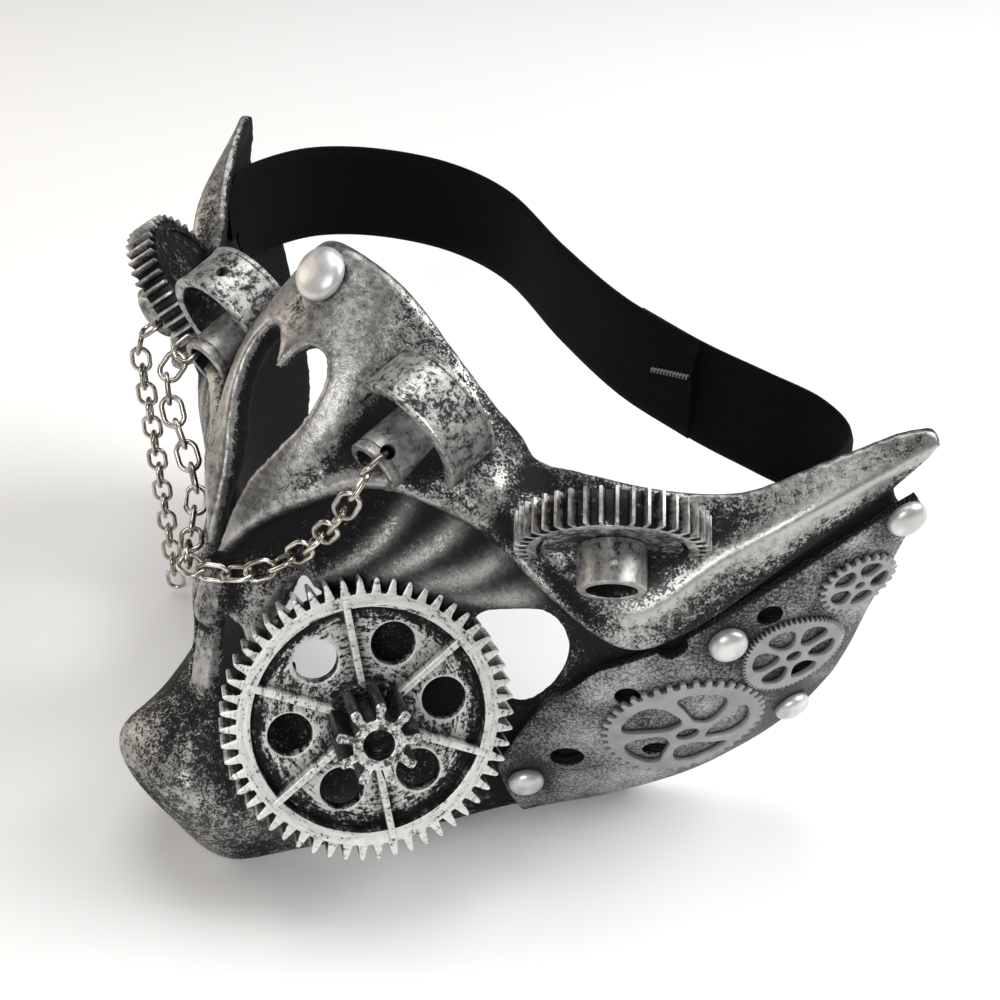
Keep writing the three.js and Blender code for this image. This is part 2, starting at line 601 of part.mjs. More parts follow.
// One oval link with its long axis along `along` and its flat facing `flat`
function link(centre, along, flat) {
  const halfStraight = (LINK.length - LINK.width) / 2;
  const bend = LINK.width / 2 - LINK.wire;
  const frame = frameAt(centre, flat, along);
  const spine = (turn) => {
    const angle = turn * 2 * Math.PI;
    const up = Math.sin(angle) >= 0 ? halfStraight : -halfStraight;
    return V(bend * Math.cos(angle), bend * Math.sin(angle) + up, 0);
  };
  const points = [];
  const faces = [];
  for (let i = 0; i < LINK.sides; i += 1) {
    const turn = (i + 0.5) / LINK.sides;
    const middle = spine(turn);
    const outward = V(Math.cos(2 * Math.PI * turn), Math.sin(2 * Math.PI * turn), 0);
    for (let k = 0; k < LINK.wireSides; k += 1) {
      const angle = (2 * Math.PI * k) / LINK.wireSides;
      const p = middle.clone()
        .addScaledVector(outward, LINK.wire * Math.cos(angle))
        .addScaledVector(V(0, 0, 1), LINK.wire * Math.sin(angle));
      points.push(...p.applyMatrix4(frame).toArray());
    }
  }
  const n = LINK.wireSides;
  for (let i = 0; i < LINK.sides; i += 1) {
    const next = (i + 1) % LINK.sides;
    for (let k = 0; k < n; k += 1) {
      const up = (k + 1) % n;
      faces.push(i * n + k, next * n + k, next * n + up, i * n + k, next * n + up, i * n + up);
    }
  }
  const geometry = new THREE.BufferGeometry();
  geometry.setAttribute('position', new THREE.Float32BufferAttribute(points, 3));
  geometry.setIndex(faces);
  return solid(geometry);
}

// Links along a curve, turned to either side by turns; the end links lie as `ends` says
function chain(points, out, ends) {
  const curve = new THREE.CatmullRomCurve3(points, false, 'centripetal');
  const count = Math.round(curve.getLength() / LINK.pitch);
  const links = [];
  for (let k = 0; k <= count; k += 1) {
    const at = curve.getPointAt(k / count);
    const along = curve.getTangentAt(k / count);
    const side = along.clone().cross(out).normalize();
    const face = side.clone().cross(along).normalize();
    const turn = k % 2 ? LINK.turn : -LINK.turn;
    const flat = face.multiplyScalar(Math.cos(turn)).addScaledVector(side, Math.sin(turn));
    const end = k === 0 ? ends[0] : k === count ? ends[1] : null;
    links.push(end ? link(at, end.along, end.flat) : link(at, along, flat));
  }
  return joinAll(links);
}

// Place of an end link: it goes through the hole in a tube's wall and round the tube's mouth
function hooked(mouth, axis, radial, middleRadius) {
  const at = mouth.clone().addScaledVector(radial, middleRadius).addScaledVector(axis, LINK.hookOut);
  return { at, along: axis, flat: axis.clone().cross(radial).normalize() };
}
const flip = ({ x, y, z }) => V(-x, y, z);

// Half of the swag across the nose, from the left tube to the middle
const SWAG = [
  [24.9, 11, 20.3], [22.3, 9.2, 14.6], [17.3, 7.8, 8], [12.9, 5.6, 3.4], [9.2, 1.6, 0.8], [5.6, -1.4, 0], [2.8, -4, 0.3],
];
const tubeMouth = V(0, 0, 0).applyMatrix4(tubeFrame);
const hookLeft = hooked(tubeMouth, ringAxis, ringOut, TUBE.radius - TUBE.wall / 2);
const hookRight = { at: flip(hookLeft.at), along: flip(hookLeft.along), flat: flip(hookLeft.flat) };
const swagLeft = SWAG.map((p) => V(...p));
const swagRight = swagLeft.slice().reverse().map(flip);
const swag = [hookLeft.at, ...swagLeft, V(0, -5.3, 0.8), ...swagRight, hookRight.at];
const noseChain = chain(swag, V(0, -0.8, 0.6), [hookLeft, hookRight]);

// Chain that hangs from the right cheek hub, down to just above the table
const hubAxis = flip(cheekOut);
const hubMouth = flip(cheekCentre).addScaledVector(hubAxis, HUB.length);
const hubFront = V(0.753, -0.657, -0.028).projectOnPlane(hubAxis).normalize();
const hubMiddle = (HUB.radius + HUB.bore) / 2;
const hubHook = hooked(hubMouth, hubAxis, hubFront, hubMiddle);
const hubHoleAt = hubMouth.clone().addScaledVector(hubAxis, -HUB_HOLE.back).addScaledVector(hubFront, hubMiddle);
const cheekHubRight = mirrored(cheekHub)
  .subtract(rod(HUB_HOLE.radius, -2.5, 2.5, BORE_SIDES, frameAt(hubHoleAt, hubFront, hubAxis)));
const HANG = { out: 3.4, rise: 0.4, slant: 0.6, clear: 4.6, radius: 1.6 };
const hangTop = hubHook.at.clone().addScaledVector(hubAxis, HANG.out).add(V(0, 0, HANG.rise));
const hangEnd = V(hangTop.x - HANG.slant, hangTop.y - HANG.slant, TABLE + HANG.clear);
const hang = [hangTop, hangTop.clone().lerp(hangEnd, 0.3), hangTop.clone().lerp(hangEnd, 0.7), hangEnd];
const hangingChain = link(hubHook.at, hubHook.along, hubHook.flat).add(bent(hang, HANG.radius, 3));

// Elastic strap in two lapped lengths: middle line of each band
const BAND = { width: 21.5, thick: 1.6 };
const STRAP_LONG = [
  [-75.5, 62, 12.8], [-76.5, 72, 13.6], [-72.5, 84, 14.2], [-61.6, 94, 14.2], [-45, 100, 14.2],
  [-26, 99, 14.2], [-2, 89.5, 14.2], [20, 82.5, 14.2], [39, 80.2, 14.2],
];
const STRAP_SHORT = [
  [23, 84.2, 13.6], [39, 82.2, 13.4], [53, 81.8, 13], [65, 81.5, 13], [74, 76.5, 13], [76.5, 66, 12.6],
];
function band(rows) {
  const curve = new THREE.CatmullRomCurve3(rows.map((row) => V(...row)), false, 'catmullrom', 0.5);
  const steps = rows.length * 2;
  const at = (side) => (i, j) => {
    const t = Math.min(0.999, Math.max(0.001, i));
    const tangent = curve.getTangent(t);
    const across = V(tangent.y, -tangent.x, 0).normalize();
    return curve.getPoint(i)
      .addScaledVector(across, side * BAND.thick / 2)
      .add(V(0, 0, BAND.width * (j - 0.5)));
  };
  return block(steps, 1, at(1), at(-1));
}
// Block over the shell's inner side at the ear, where the strap ends
const EAR = { mantle: 7, lower: 6.5, mantleGrid: [6, 4], lowerGrid: [6, 6], inside: -WALL - 2 * GAP, outside: 12 };
const innerSeat = mantleBlock(EAR.mantle, LAST_ARM, EAR.mantleGrid, EAR.inside, EAR.outside)
  .add(lowerBlock(EAR.lower, LAST_LOWER, EAR.lowerGrid, EAR.inside, EAR.outside));
const strapLong = band(STRAP_LONG).subtract(mirrored(innerSeat));
const strapShort = band(STRAP_SHORT).subtract(innerSeat);

// Assembly

const FINISH = {
  shell: { color: 0x4b4c50, metalness: 0.5, roughness: 0.5 },
  silver: { color: 0xb9bcc0, metalness: 0.7, roughness: 0.4 },
  pewter: { color: 0x6f7174, metalness: 0.6, roughness: 0.5 },
  leather: { color: 0x8c8f94, metalness: 0.2, roughness: 0.6 },
  pearl: { color: 0xdadbe0, metalness: 0.6, roughness: 0.3 },
  nickel: { color: 0xa89f90, metalness: 0.9, roughness: 0.35 },
  elastic: { color: 0x17171a, metalness: 0, roughness: 0.9 },
};
const mask = new THREE.Group();
mask.name = 'steampunk_half_mask';

// Adds a body to the mask; scraps that a seat cut off it are left out
function place(name, body, finish) {
  const pieces = body.decompose();
  const main = pieces.reduce((best, piece) => (piece.volume() > best.volume() ? piece : best));
  const mesh = new THREE.Mesh(geometryOf(main), new THREE.MeshStandardMaterial(FINISH[finish]));
  mesh.name = name;
  mask.add(mesh);
}
function placePair(name, body, finish) {
  place(`${name}_left`, body, finish);
  place(`${name}_right`, mirrored(body), finish);
}

place('mask_shell', shell, 'shell');
place('nose_rivet', noseRivet, 'pearl');
placePair('half_ring', halfRing, 'silver');
placePair('ring_tube', ringTube, 'silver');
placePair('cheek_gear', cheekGear, 'silver');
place('cheek_hub_left', cheekHub, 'silver');
place('cheek_hub_right', cheekHubRight, 'silver');
place('big_gear', bigGear, 'silver');
place('pinion', pinion, 'silver');
placePair('side_panel', sidePanel, 'leather');
for (const { name, body } of panelGears) {
  placePair(`panel_gear_${name}`, body, 'pewter');
}
panelRivets.forEach((body, k) => placePair(`panel_rivet_${k + 1}`, body, 'pearl'));
place('nose_chain', noseChain, 'nickel');
place('hanging_chain', hangingChain, 'nickel');
place('strap_long', strapLong, 'elastic');
place('strap_short', strapShort, 'elastic');

// Origin at the middle of the base
const box = new THREE.Box3().setFromObject(mask);
const centre = box.getCenter(V(0, 0, 0));
for (const mesh of mask.children) {
  mesh.position.set(-centre.x, -centre.y, -box.min.z);
}

export default mask;
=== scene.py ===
import math

import bmesh
import bpy
import numpy as np
from mathutils import Matrix, Vector
from mathutils.kdtree import KDTree


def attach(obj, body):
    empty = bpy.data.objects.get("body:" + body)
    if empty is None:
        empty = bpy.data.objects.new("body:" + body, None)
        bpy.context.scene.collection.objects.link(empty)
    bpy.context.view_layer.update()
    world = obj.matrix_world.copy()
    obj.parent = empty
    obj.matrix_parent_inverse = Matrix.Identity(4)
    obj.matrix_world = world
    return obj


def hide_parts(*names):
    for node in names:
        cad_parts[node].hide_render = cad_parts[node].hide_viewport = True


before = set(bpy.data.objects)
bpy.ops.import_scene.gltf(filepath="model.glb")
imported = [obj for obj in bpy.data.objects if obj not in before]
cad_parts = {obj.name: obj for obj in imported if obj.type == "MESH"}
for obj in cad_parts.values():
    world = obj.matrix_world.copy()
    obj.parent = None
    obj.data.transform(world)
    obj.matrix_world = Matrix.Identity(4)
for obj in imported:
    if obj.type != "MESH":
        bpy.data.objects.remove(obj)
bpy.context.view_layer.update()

# Shapes are worked out in millimetres in the mask's own frame: the origin is the tip of the nose slit,
# +X the wearer's left, -Y the way the face looks and +Z up. SHIFT brings that to the frame of the CAD.
MM = 0.001
TABLE = -62.0
SHIFT = np.array([0.0, -40.0269, -TABLE])

# Camera, in the mask's frame
AZIMUTH = math.radians(44.43)
ELEVATION = math.radians(37.55)
EYE = Vector((174.335, -108.142, 165.130))
LENS = 54
SENSOR = 36

# Guide tables of the shell, left half

# Nose plate and cheek arm: lower edge, middle, upper edge, and how sharp the middle ridge is
MANTLE = [
    ((0, 0, 0), (0, 15.5, 26.5), (0, 34, 46.5), 0),
    ((6, 4.2, 6.8), (11.3, 19.3, 26.5), (7, 36.2, 43.2), 0),
    ((12, 9.8, 11.6), (15.5, 27.3, 25.5), (12, 38.5, 38), 0),
    ((21, 17.2, 16.2), (21, 29, 23.5), (18, 40, 31), 0),
    ((30, 22.3, 15), (30.5, 27.5, 20), (26, 41.5, 22.5), 0),
    ((40.2, 26.4, 11), (40, 33, 16.5), (35, 42.5, 17), 0),
    ((50.5, 28.8, 3.5), (51, 33.5, 11), (46, 42, 19.5), 0.3),
    ((62.5, 34.6, -5.2), (62.8, 36.2, 2.6), (58.5, 46.7, 19.8), 0.8),
    ((69.5, 44.8, -3.8), (71.3, 48.7, 12.3), (68, 55, 20), 0.9),
    ((79.1, 60.4, 9.3), (79, 58.5, 19.8), (77, 64.5, 26), 0.9),
    ((87.5, 78, 20.8), (89, 78.5, 28.3), (87.6, 77.5, 32), 0.9),
]
CREASE = 3
CREASE_SHARE = 0.8

# Lower face: under the mantle, lip, mouth, chin and bottom rim
LOWER = [
    ((0, 3.5, 2.5), (0, -3, -10), (0, -8.5, -27), (0, -22.3, -37.3), (0, -14.3, -63)),
    ((6.5, 8.3, 9), (8, -0.5, -9.5), (8, -4.5, -27), (11, -19.4, -37.3), (9.8, -12.2, -63)),
    ((13.5, 14.5, 14), (15.5, 8.5, -6), (15, 5, -27), (18.5, -5.5, -45), (17, -1.5, -63)),
    ((21, 21.3, 17), (23.5, 16, -4), (21.5, 12.5, -27), (25.5, 8.5, -48), (24.5, 10, -63)),
    ((29.5, 26, 15), (32, 23, -5), (30, 22, -29), (32.5, 20, -49), (31.5, 21.5, -63)),
    ((39, 30.5, 10.5), (42, 28.5, -9), (41, 30, -31), (40, 32, -49), (38.8, 35.4, -63)),
    ((49.5, 33, 2.5), (52.5, 36, -16.5), (53, 40, -33), (52, 45.5, -49), (49, 51.5, -63)),
    ((60.5, 38.5, -2.5), (63, 44.5, -10), (64.5, 48, -24.5), (64, 54, -39), (60.5, 61.5, -53.5)),
    ((69.5, 51, 1), (72, 56, 0.5), (74.5, 61.5, -10.5), (75.3, 69, -22.5), (74, 77, -34)),
    ((77.5, 62.5, 11), (79.5, 65, 9.5), (80.8, 69.5, 2.5), (81.2, 74.8, -5), (80.3, 80, -12.5)),
    ((84, 74.5, 21), (85.3, 74.5, 17.5), (85.8, 76.3, 15), (85.7, 78.4, 12.5), (85, 80.5, 10)),
]
LAST = len(MANTLE) - 1
PLATE_END = 4.9
PLATE_LIFT = 2.2
WALL = 2.6
PLATE_WALL = 1.2
UP = (0, 0, 1)


# Curves and surfaces


def spline(points, t):
    """Points of a Catmull-Rom curve at each t from 0 to 1, carried straight on past its ends.
    points is (n, 3), or (n, k, 3) for k curves with one t each."""
    points = np.asarray(points, float)
    t = np.atleast_1d(np.asarray(t, float))
    before = 2 * points[:1] - points[1:2]
    after = 2 * points[-1:] - points[-2:-1]
    ring = np.concatenate([before, points, after])
    spans = len(points) - 1
    inside = np.clip(t, 0, 1) * spans
    i = np.minimum(inside.astype(int), spans - 1)
    u = (inside - i)[:, None]
    k = np.arange(len(t))
    p0, p1, p2, p3 = [ring[i + d, k] if ring.ndim == 3 else ring[i + d] for d in range(4)]
    m1 = 0.5 * (p2 - p0)
    m2 = 0.5 * (p3 - p1)
    c2 = 3 * (p2 - p1) - 2 * m1 - m2
    c3 = 2 * (p1 - p2) + m1 + m2
    slope = m1 + 2 * c2 * u + 3 * c3 * u**2
    return p1 + m1 * u + c2 * u**2 + c3 * u**3 + slope * (t * spans - inside)[:, None]


def flip(points):
    return np.asarray(points, float) * (-1, 1, 1)


def guides(table, columns):
    """One curve for each column of a table, from the right end over the middle to the left end."""
    made = []
    for column in range(columns):
        left = np.array([row[column] for row in table], float)
        made.append(np.concatenate([flip(left[:0:-1]), left]))
    return made


MANTLE_GUIDES = guides(MANTLE, 3)
LOWER_GUIDES = guides(LOWER, 5)


def along(guide_curves, s):
    return np.array([spline(curve, (s + LAST) / (2 * LAST)) for curve in guide_curves])


def mantle(s, v):
    """Middle surface of the mantle: v = 0 at the lower edge, 1 at the upper edge."""
    low, mid, top = lines = along(MANTLE_GUIDES, s)
    sharpness = np.interp(np.abs(s), range(LAST + 1), [row[CREASE] for row in MANTLE])
    t = v[:, None]
    sharp = np.where(t < 0.5, low + (mid - low) * 2 * t, mid + (top - mid) * (2 * t - 1))
    share = CREASE_SHARE * sharpness[:, None]
    return spline(lines, v) * (1 - share) + sharp * share


def lower(s, w):
    """Outer surface of the lower face: w runs from 0 under the mantle to 4 at the rim."""
    return spline(along(LOWER_GUIDES, s), w / 4)


def unit(vectors):
    return vectors / np.linalg.norm(vectors, axis=-1, keepdims=True)


def normals(surface, s, v, span):
    step = 0.01
    v0 = np.maximum(0, v - step * span)
    v1 = np.minimum(span, v + step * span)
    return unit(np.cross(surface(s + step, v) - surface(s - step, v), surface(s, v1) - surface(s, v0)))


def on_mantle(s, v, lift=0.0):
    s, v = np.atleast_1d(s).astype(float), np.atleast_1d(v).astype(float)
    return mantle(s, v) + normals(mantle, s, v, 1) * np.reshape(lift, (-1, 1))


def on_lower(s, w, lift=0.0):
    s, w = np.atleast_1d(s).astype(float), np.atleast_1d(w).astype(float)
    return lower(s, w) - normals(lower, s, w, 4) * np.reshape(lift, (-1, 1))


def lower_normal(s, w):
    return -normals(lower, np.array([float(s)]), np.array([float(w)]), 4)[0]


def mantle_normal(s, v):
    return normals(mantle, np.array([float(s)]), np.array([float(v)]), 1)[0]


# Shapes: a pair of points, in millimetres, and faces


def block(outer, inner):
    """Closed shape between two grids of points, each (columns, rows, 3)."""
    columns, rows = outer.shape[:2]
    index = np.arange(2 * columns * rows).reshape(2, columns, rows)
    faces = []

    def quads(a, b, c, d):
        faces.extend(np.stack([a.ravel(), b.ravel(), c.ravel(), d.ravel()], 1).tolist())

    o, i = index
    quads(o[:-1, :-1], o[1:, :-1], o[1:, 1:], o[:-1, 1:])
    quads(i[:-1, :-1], i[:-1, 1:], i[1:, 1:], i[1:, :-1])
    quads(i[:-1, 0], i[1:, 0], o[1:, 0], o[:-1, 0])
    quads(o[:-1, -1], o[1:, -1], i[1:, -1], i[:-1, -1])
    quads(o[0, :-1], o[0, 1:], i[0, 1:], i[0, :-1])
    quads(i[-1, :-1], i[-1, 1:], o[-1, 1:], o[-1, :-1])
    return outward((np.concatenate([outer.reshape(-1, 3), inner.reshape(-1, 3)]), faces))


def volume(shape):
    points, faces = shape
    total = 0.0
    for face in faces:
        a = points[face[0]]
        for k in range(1, len(face) - 1):
            total += np.dot(a, np.cross(points[face[k]], points[face[k + 1]]))
    return total / 6


def outward(shape):
    points, faces = shape
    return shape if volume(shape) > 0 else (points, [face[::-1] for face in faces])


def mirror(shape):
    points, faces = shape
    return flip(points), [face[::-1] for face in faces]


def join(shapes):
    points, faces = [], []
    start = 0
    for more, their in shapes:
        points.append(more)
        faces.extend([[k + start for k in face] for face in their])
        start += len(more)
    return np.concatenate(points), faces


def frame_at(origin, out, up):
    """Frame whose third axis is `out`; the second leans towards `up`."""
    z = unit(np.asarray(out, float))
    x = unit(np.cross(up, z))
    return np.array([x, np.cross(z, x), z]), np.asarray(origin, float)


def placed(shape, place):
    axes, origin = place
    return shape[0] @ axes + origin, shape[1]


def local_points(place, points):
    """Points as a placed frame sees them."""
    axes, origin = place
    return (points - origin) @ axes.T


def point_in(place, *local):
    """Point of a placed frame, given by its distances along the frame's axes."""
    axes, origin = place
    return np.array(local, float) @ axes + origin


def tube(points, radius, sides, closed=False, flat=None):
    """Round tube along points; an open one has flat ends."""
    points = np.asarray(points, float)
    ahead = np.roll(points, -1, 0) - np.roll(points, 1, 0)
    if not closed:
        ahead[0], ahead[-1] = points[1] - points[0], points[-1] - points[-2]
    ahead = unit(ahead)
    helper = np.array([0.2, 0.1, 1.0]) if flat is None else np.asarray(flat, float)
    side = unit(np.cross(helper, ahead))
    up = np.cross(ahead, side)
    angle = np.linspace(0, 2 * math.pi, sides, endpoint=False)
    ring = side[:, None] * np.cos(angle)[:, None] + up[:, None] * np.sin(angle)[:, None]
    body = points[:, None] + ring * radius
    count = len(points)
    index = np.arange(count * sides).reshape(count, sides)
    turned = np.roll(index, -1, 1)
    ahead_index, ahead_turned = np.roll(index, -1, 0), np.roll(turned, -1, 0)
    keep = slice(None) if closed else slice(0, -1)
    stack = [index[keep], turned[keep], ahead_turned[keep], ahead_index[keep]]
    faces = np.stack([a.ravel() for a in stack], 1).tolist()
    if not closed:
        faces += [index[0][::-1].tolist(), index[-1].tolist()]
    return outward((body.reshape(-1, 3), faces))


def lathe(profile, sides):
    """Shape turned about the third axis. The profile holds (radius, height), and its ends are on the axis."""
    profile = np.asarray(profile, float)
    angle = np.linspace(0, 2 * math.pi, sides, endpoint=False)
    points = [np.array([[0, 0, profile[0, 1]]])]
    for radius, height in profile[1:-1]:
        points.append(np.stack([radius * np.cos(angle), radius * np.sin(angle), np.full(sides, height)], 1))
    points.append(np.array([[0, 0, profile[-1, 1]]]))
    rings = [1 + sides * k for k in range(len(profile) - 2)]
    end = rings[-1] + sides
    faces = []
    for k in range(sides):
        n = (k + 1) % sides
        faces.append([0, rings[0] + n, rings[0] + k])
        faces.append([end, rings[-1] + k, rings[-1] + n])
        for a, b in zip(rings, rings[1:]):
            faces.append([a + k, a + n, b + n, b + k])
    return outward((np.concatenate(points), faces))


def circle(radius, sides, centre=(0, 0)):
    angle = np.linspace(0, 2 * math.pi, sides, endpoint=False)
    return np.stack([centre[0] + radius * np.cos(angle), centre[1] + radius * np.sin(angle)], 1)


def toothed(teeth, root, tip, profile):
    """Outline of a toothed wheel. A tooth's profile holds, from root to tip, a share of its height
    and its width there in parts of the pitch."""
    pitch = 2 * math.pi / teeth
    flank = [(root + (tip - root) * height, -width / 2) for height, width in profile]
    flanks = flank + [(radius, -share) for radius, share in flank[::-1]]
    ring = []
    for k in range(teeth):
        for radius, share in flanks:
            angle = (k + share) * pitch
            ring.append((radius * math.cos(angle), radius * math.sin(angle)))
    return np.array(ring)


def read_mesh(obj):
    """The shape of an object with its modifiers, in the object's own units."""
    graph = bpy.context.evaluated_depsgraph_get()
    mesh = bpy.data.meshes.new_from_object(obj.evaluated_get(graph))
    points = np.zeros(len(mesh.vertices) * 3)
    mesh.vertices.foreach_get("co", points)
    faces = [list(face.vertices) for face in mesh.polygons]
    bpy.data.meshes.remove(mesh)
    return points.reshape(-1, 3), faces


def add_object(name, data):
    obj = bpy.data.objects.new(name, data)
    bpy.context.scene.collection.objects.link(obj)
    return obj


def scratch(shape):
    mesh = bpy.data.meshes.new("scratch")
    mesh.from_pydata(shape[0].tolist(), [], shape[1])
    return add_object("scratch", mesh)


def drop(*objects):
    for obj in objects:
        data = obj.data
        bpy.data.objects.remove(obj)
        (bpy.data.meshes if isinstance(data, bpy.types.Mesh) else bpy.data.curves).remove(data)


def plate(rings, low, high, bevel):
    """Flat plate with holes: the first ring is its outline. Its edges are rounded by `bevel`."""
    curve = bpy.data.curves.new("plate", "CURVE")
    curve.dimensions = "2D"
    curve.fill_mode = "BOTH"
    curve.extrude = (high - low) / 2 - bevel
    curve.bevel_depth = bevel
    curve.bevel_resolution = 1
    curve.offset = -bevel
    for ring in rings:
        line = curve.splines.new("POLY")
        line.points.add(len(ring) - 1)
        flat = np.concatenate([ring, np.zeros((len(ring), 1)), np.ones((len(ring), 1))], 1)
        line.points.foreach_set("co", flat.ravel())
        line.use_cyclic_u = True
    obj = add_object("plate", curve)
    points, faces = read_mesh(obj)
    drop(obj)
    return welded((points + (0, 0, (low + high) / 2), faces))


def to_bmesh(shape):
    points, faces = shape
    bm = bmesh.new()
    made = [bm.verts.new(p) for p in points]
    for face in faces:
        if len(set(face)) > 2:
            bm.faces.new([made[k] for k in face])
    return bm


def welded(shape, distance=1e-4):
    bm = to_bmesh(shape)
    bmesh.ops.remove_doubles(bm, verts=bm.verts, dist=distance)
    bmesh.ops.recalc_face_normals(bm, faces=bm.faces)
    return from_bmesh(bm)


def from_bmesh(bm):
    bm.verts.index_update()
    points = np.array([v.co for v in bm.verts], float)
    faces = [[v.index for v in face.verts] for face in bm.faces]
    bm.free()
    return outward((points, faces))


def sliced(shape, spacing):
    """Shape with its faces split along a square grid, so that it can be bent."""
    bm = to_bmesh(shape)
    reach = np.abs(shape[0]).max(0)
    for axis, normal in enumerate((Vector((1, 0, 0)), Vector((0, 1, 0)))):
        for k in range(int(-reach[axis] // spacing), int(reach[axis] // spacing) + 1):
            everything = bm.verts[:] + bm.edges[:] + bm.faces[:]
            middle = normal * (k + 0.5) * spacing
            bmesh.ops.bisect_plane(bm, geom=everything, plane_co=middle, plane_no=normal)
    return from_bmesh(bm)


def modified(shape, kind, **settings):
    """Shape after one modifier."""
    body = scratch(shape)
    step = body.modifiers.new("step", kind)
    for key, value in settings.items():
        setattr(step, key, value)
    result = read_mesh(body)
    drop(body)
    return result


def cut(shape, cutters, operation="DIFFERENCE"):
    body = scratch(shape)
    tools = [scratch(cutter) for cutter in cutters]
    for tool in tools:
        step = body.modifiers.new("cut", "BOOLEAN")
        step.operation = operation
        step.object = tool
        step.solver = "MANIFOLD"
        tool.hide_render = True
    result = read_mesh(body)
    drop(body, *tools)
    return result


def prism(ring, low, high):
    """Plain prism of an outline, for cutting."""
    n = len(ring)
    points = np.concatenate([np.c_[ring, np.full(n, low)], np.c_[ring, np.full(n, high)]])
    faces = [list(range(n))[::-1], [n + k for k in range(n)]]
    faces += [[k, (k + 1) % n, n + (k + 1) % n, n + k] for k in range(n)]
    return outward((points, faces))


def rounded(points, steps):
    """Closed smooth outline through a few points."""
    points = np.asarray(points, float)
    lap = 3
    around = np.concatenate([points[-lap:], points, points[:lap]])
    t = np.linspace(lap, lap + len(points), steps, endpoint=False) / (len(around) - 1)
    return spline(around, t)


def run_lengths(points):
    """Distance along a line of points, from its start to each of them."""
    return np.concatenate([[0], np.cumsum(np.linalg.norm(np.diff(points, axis=0), axis=1))])


def tree_of(points):
    tree = KDTree(len(points))
    for k, p in enumerate(points):
        tree.insert(p, k)
    tree.balance()
    return tree


def distances(points, group):
    """Distance of each point from the nearest of a group."""
    tree = tree_of(group)
    return np.array([tree.find(p)[2] for p in points])


def round_cutter(radius, steps, reach, place):
    return placed(prism(circle(radius, steps), *reach), place)


# Materials


class Finish:
    """A node material: short calls add its nodes and join them."""

    def __init__(self, name, **sockets):
        self.material = bpy.data.materials.new(name)
        self.material.use_nodes = True
        self.tree = self.material.node_tree
        self.shader = self.tree.nodes["Principled BSDF"]
        for key, value in sockets.items():
            self.socket(key).default_value = value

    def socket(self, name):
        return self.shader.inputs[name.replace("_", " ").title().replace("Ior", "IOR")]

    def add(self, kind, values, **settings):
        made = self.tree.nodes.new(kind)
        for key, value in settings.items():
            setattr(made, key, value)
        for socket, value in values.items():
            self.feed(made.inputs[socket], value)
        return made

    def feed(self, socket, value):
        if isinstance(value, bpy.types.NodeSocket):
            self.tree.links.new(value, socket)
        else:
            socket.default_value = value

    def place(self, stretch=(1, 1, 1)):
        where = self.add("ShaderNodeTexCoord", {}).outputs["Object"]
        return self.add("ShaderNodeMapping", {"Vector": where, "Scale": stretch}).outputs["Vector"]

    def noise(self, scale, detail=4.0, rough=0.6, stretch=(1, 1, 1), distortion=0.0):
        values = {"Vector": self.place(stretch), "Scale": scale, "Detail": detail, "Roughness": rough,
                  "Distortion": distortion}
        return self.add("ShaderNodeTexNoise", values).outputs["Fac"]

    def around(self):
        """Strokes round a wheel's axis, from its `ring`, `turn_x` and `turn_y` attributes."""
        scales = {"X": ("ring", 1.5), "Y": ("turn_x", 5.0), "Z": ("turn_y", 5.0)}
        parts = {}
        for axis, (name, scale) in scales.items():
            parts[axis] = self.math("MULTIPLY", self.attribute(name), scale)
        where = self.add("ShaderNodeCombineXYZ", parts).outputs[0]
        values = {"Vector": where, "Scale": 1.0, "Detail": 5.0, "Roughness": 0.7}
        return self.add("ShaderNodeTexNoise", values).outputs["Fac"]

    def cells(self, scale, feature="F1"):
        values = {"Vector": self.place(), "Scale": scale}
        return self.add("ShaderNodeTexVoronoi", values, feature=feature).outputs["Distance"]

    def attribute(self, name):
        return self.add("ShaderNodeAttribute", {}, attribute_name=name).outputs["Fac"]

    def hollow(self, distance):
        """1 in the open and 0 deep in a corner."""
        return self.add("ShaderNodeAmbientOcclusion", {"Distance": distance}, samples=1).outputs["AO"]

    def math(self, operation, a, b=0.0, c=0.0):
        return self.add("ShaderNodeMath", {0: a, 1: b, 2: c}, operation=operation).outputs[0]

    def sum(self, *weighted):
        total = 0.0
        for value, weight in weighted:
            total = self.math("MULTIPLY_ADD", value, weight, total)
        return total

    def ramp(self, value, low, high, start=0.0, end=1.0):
        values = {"Value": value, "From Min": low, "From Max": high, "To Min": start, "To Max": end}
        return self.add("ShaderNodeMapRange", values, interpolation_type="SMOOTHSTEP").outputs["Result"]

    def mix(self, share, a, b):
        made = self.add("ShaderNodeMix", {}, data_type="RGBA")
        for socket, value in ((made.inputs[0], share), (made.inputs[6], a), (made.inputs[7], b)):
            self.feed(socket, value)
        return made.outputs[2]

    def bump(self, height, distance, strength=1.0):
        values = {"Height": height, "Distance": distance, "Strength": strength}
        self.feed(self.shader.inputs["Normal"], self.add("ShaderNodeBump", values).outputs["Normal"])

    def set(self, **links):
        for key, value in links.items():
            self.feed(self.socket(key), value)
        return self.material


BLACK = (0.009, 0.009, 0.0095, 1)
SILVER = (0.48, 0.472, 0.455, 1)
DULL = (0.17, 0.167, 0.16, 1)
STEEL = (0.27, 0.265, 0.255, 1)
SATIN = (0.52, 0.512, 0.495, 1)
LIGHT = (0.66, 0.65, 0.63, 1)
PALE = (0.86, 0.85, 0.81, 1)
